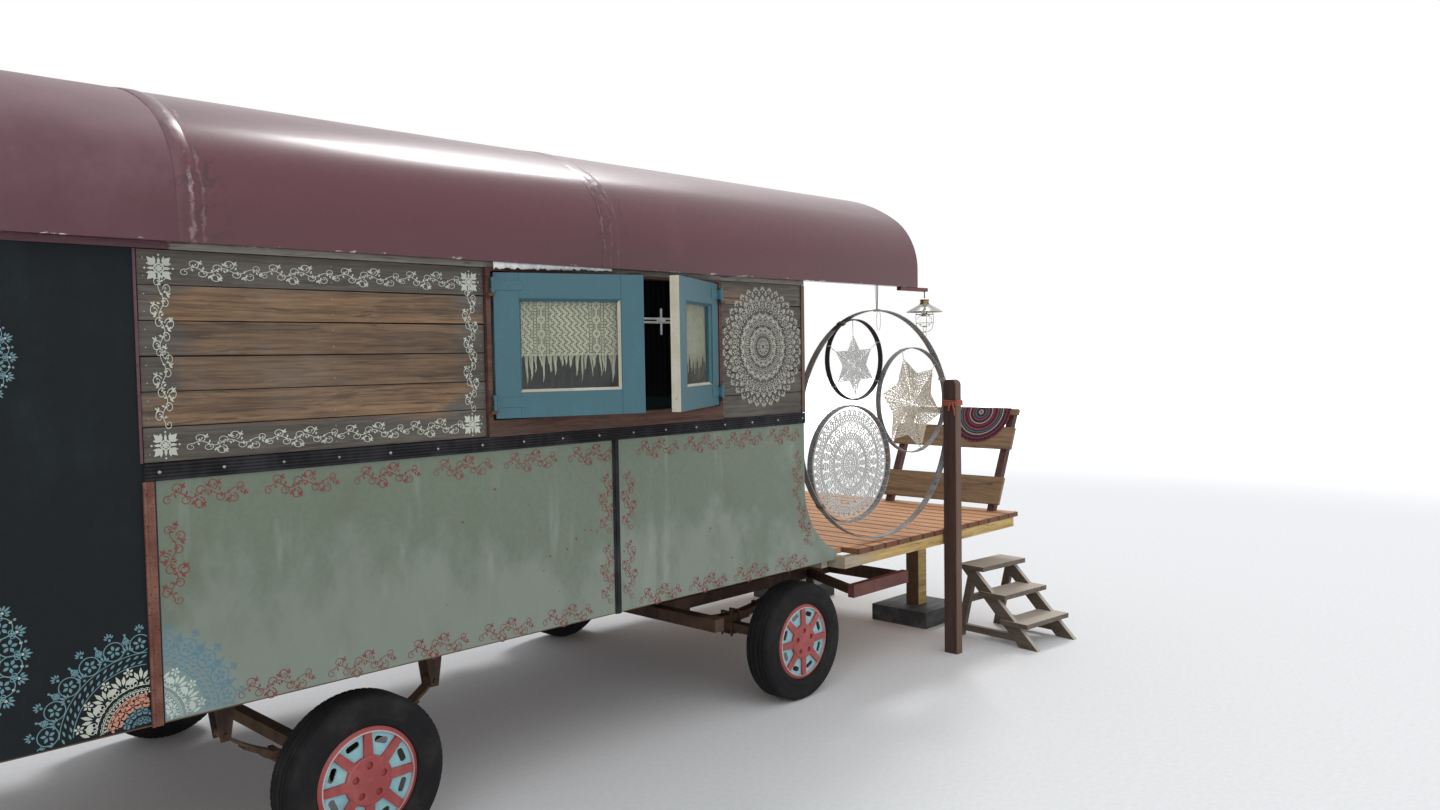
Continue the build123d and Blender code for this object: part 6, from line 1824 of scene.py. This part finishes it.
class VARDO_OT_stage(Maker, bpy.types.Operator):
    """Set up the pale floor, the soft lamps, the world and the camera"""
    bl_idname = "vardo.stage"
    bl_label = "Stage"

    def execute(self, context):
        scene = context.scene
        scene.view_settings.view_transform = "Standard"
        corners = [(-60, -60, 0), (60, -60, 0), (60, 60, 0), (-60, 60, 0)]
        floor = shown("floor", Shape().add(corners, [(0, 1, 2, 3)]).mesh("floor"))
        floor.data.materials.append(white_where_seen("floor_paint"))
        scene.world = bpy.data.worlds.new("studio")
        scene.world.use_nodes = True
        g = Graph(scene.world.node_tree)
        back = scene.world.node_tree.nodes["Background"].inputs
        g.link(g.mix(seen_rays(g), (0.62, 0.64, 0.67), (1.0, 1.0, 1.0)), back["Color"])
        back["Strength"].default_value = 1.0
        for name, energy, wide, toward in LAMPS:
            sun = bpy.data.lights.new(name, "SUN")
            sun.energy, sun.angle = energy, radians(wide)
            shown(name, sun).rotation_euler = Vector(toward).to_track_quat("Z", "Y").to_euler()
        camera = bpy.data.cameras.new("camera")
        camera.lens, camera.sensor_width, camera.clip_start = LENS, 36.0, 0.05
        scene.camera = shown("camera", camera)
        scene.camera.matrix_world = Matrix.Translation(at(*EYE)) @ Matrix((RIGHT, UP, BACK)).transposed().to_4x4()
        return {"FINISHED"}


class VARDO_PT_panel(bpy.types.Panel):
    """Lists what the add-on makes, with its colours and sizes."""
    bl_idname = "VARDO_PT_panel"
    bl_label = "Vardo wagon"
    bl_space_type = "VIEW_3D"
    bl_region_type = "UI"
    bl_category = "Vardo"

    def draw(self, context):
        for maker in MAKERS:
            self.layout.operator(maker.bl_idname)
        for group in (context.scene.vardo_colours, context.scene.vardo_sizes):
            box = self.layout.box()
            for name in group.bl_rna.properties.keys():
                if name not in ("name", "rna_type"):
                    box.prop(group, name)


MAKERS = (VARDO_OT_finishes, VARDO_OT_stage, VARDO_OT_roof, VARDO_OT_sides, VARDO_OT_ornaments, VARDO_OT_windows,
          VARDO_OT_wheels, VARDO_OT_hoops, VARDO_OT_porch)


def register():
    for kind in (VardoColours, VardoSizes, *MAKERS, VARDO_PT_panel):
        bpy.utils.register_class(kind)
    bpy.types.Scene.vardo_colours = PointerProperty(type=VardoColours)
    bpy.types.Scene.vardo_sizes = PointerProperty(type=VardoSizes)


def unregister():
    del bpy.types.Scene.vardo_sizes
    del bpy.types.Scene.vardo_colours
    for kind in (VARDO_PT_panel, *reversed(MAKERS), VardoSizes, VardoColours):
        bpy.utils.unregister_class(kind)


def main():
    register()
    for maker in MAKERS:
        group, name = maker.bl_idname.split(".")
        if getattr(getattr(bpy.ops, group), name)() != {"FINISHED"}:
            raise RuntimeError(f"{maker.bl_label} made nothing")


if __name__ == "__main__":
    main()
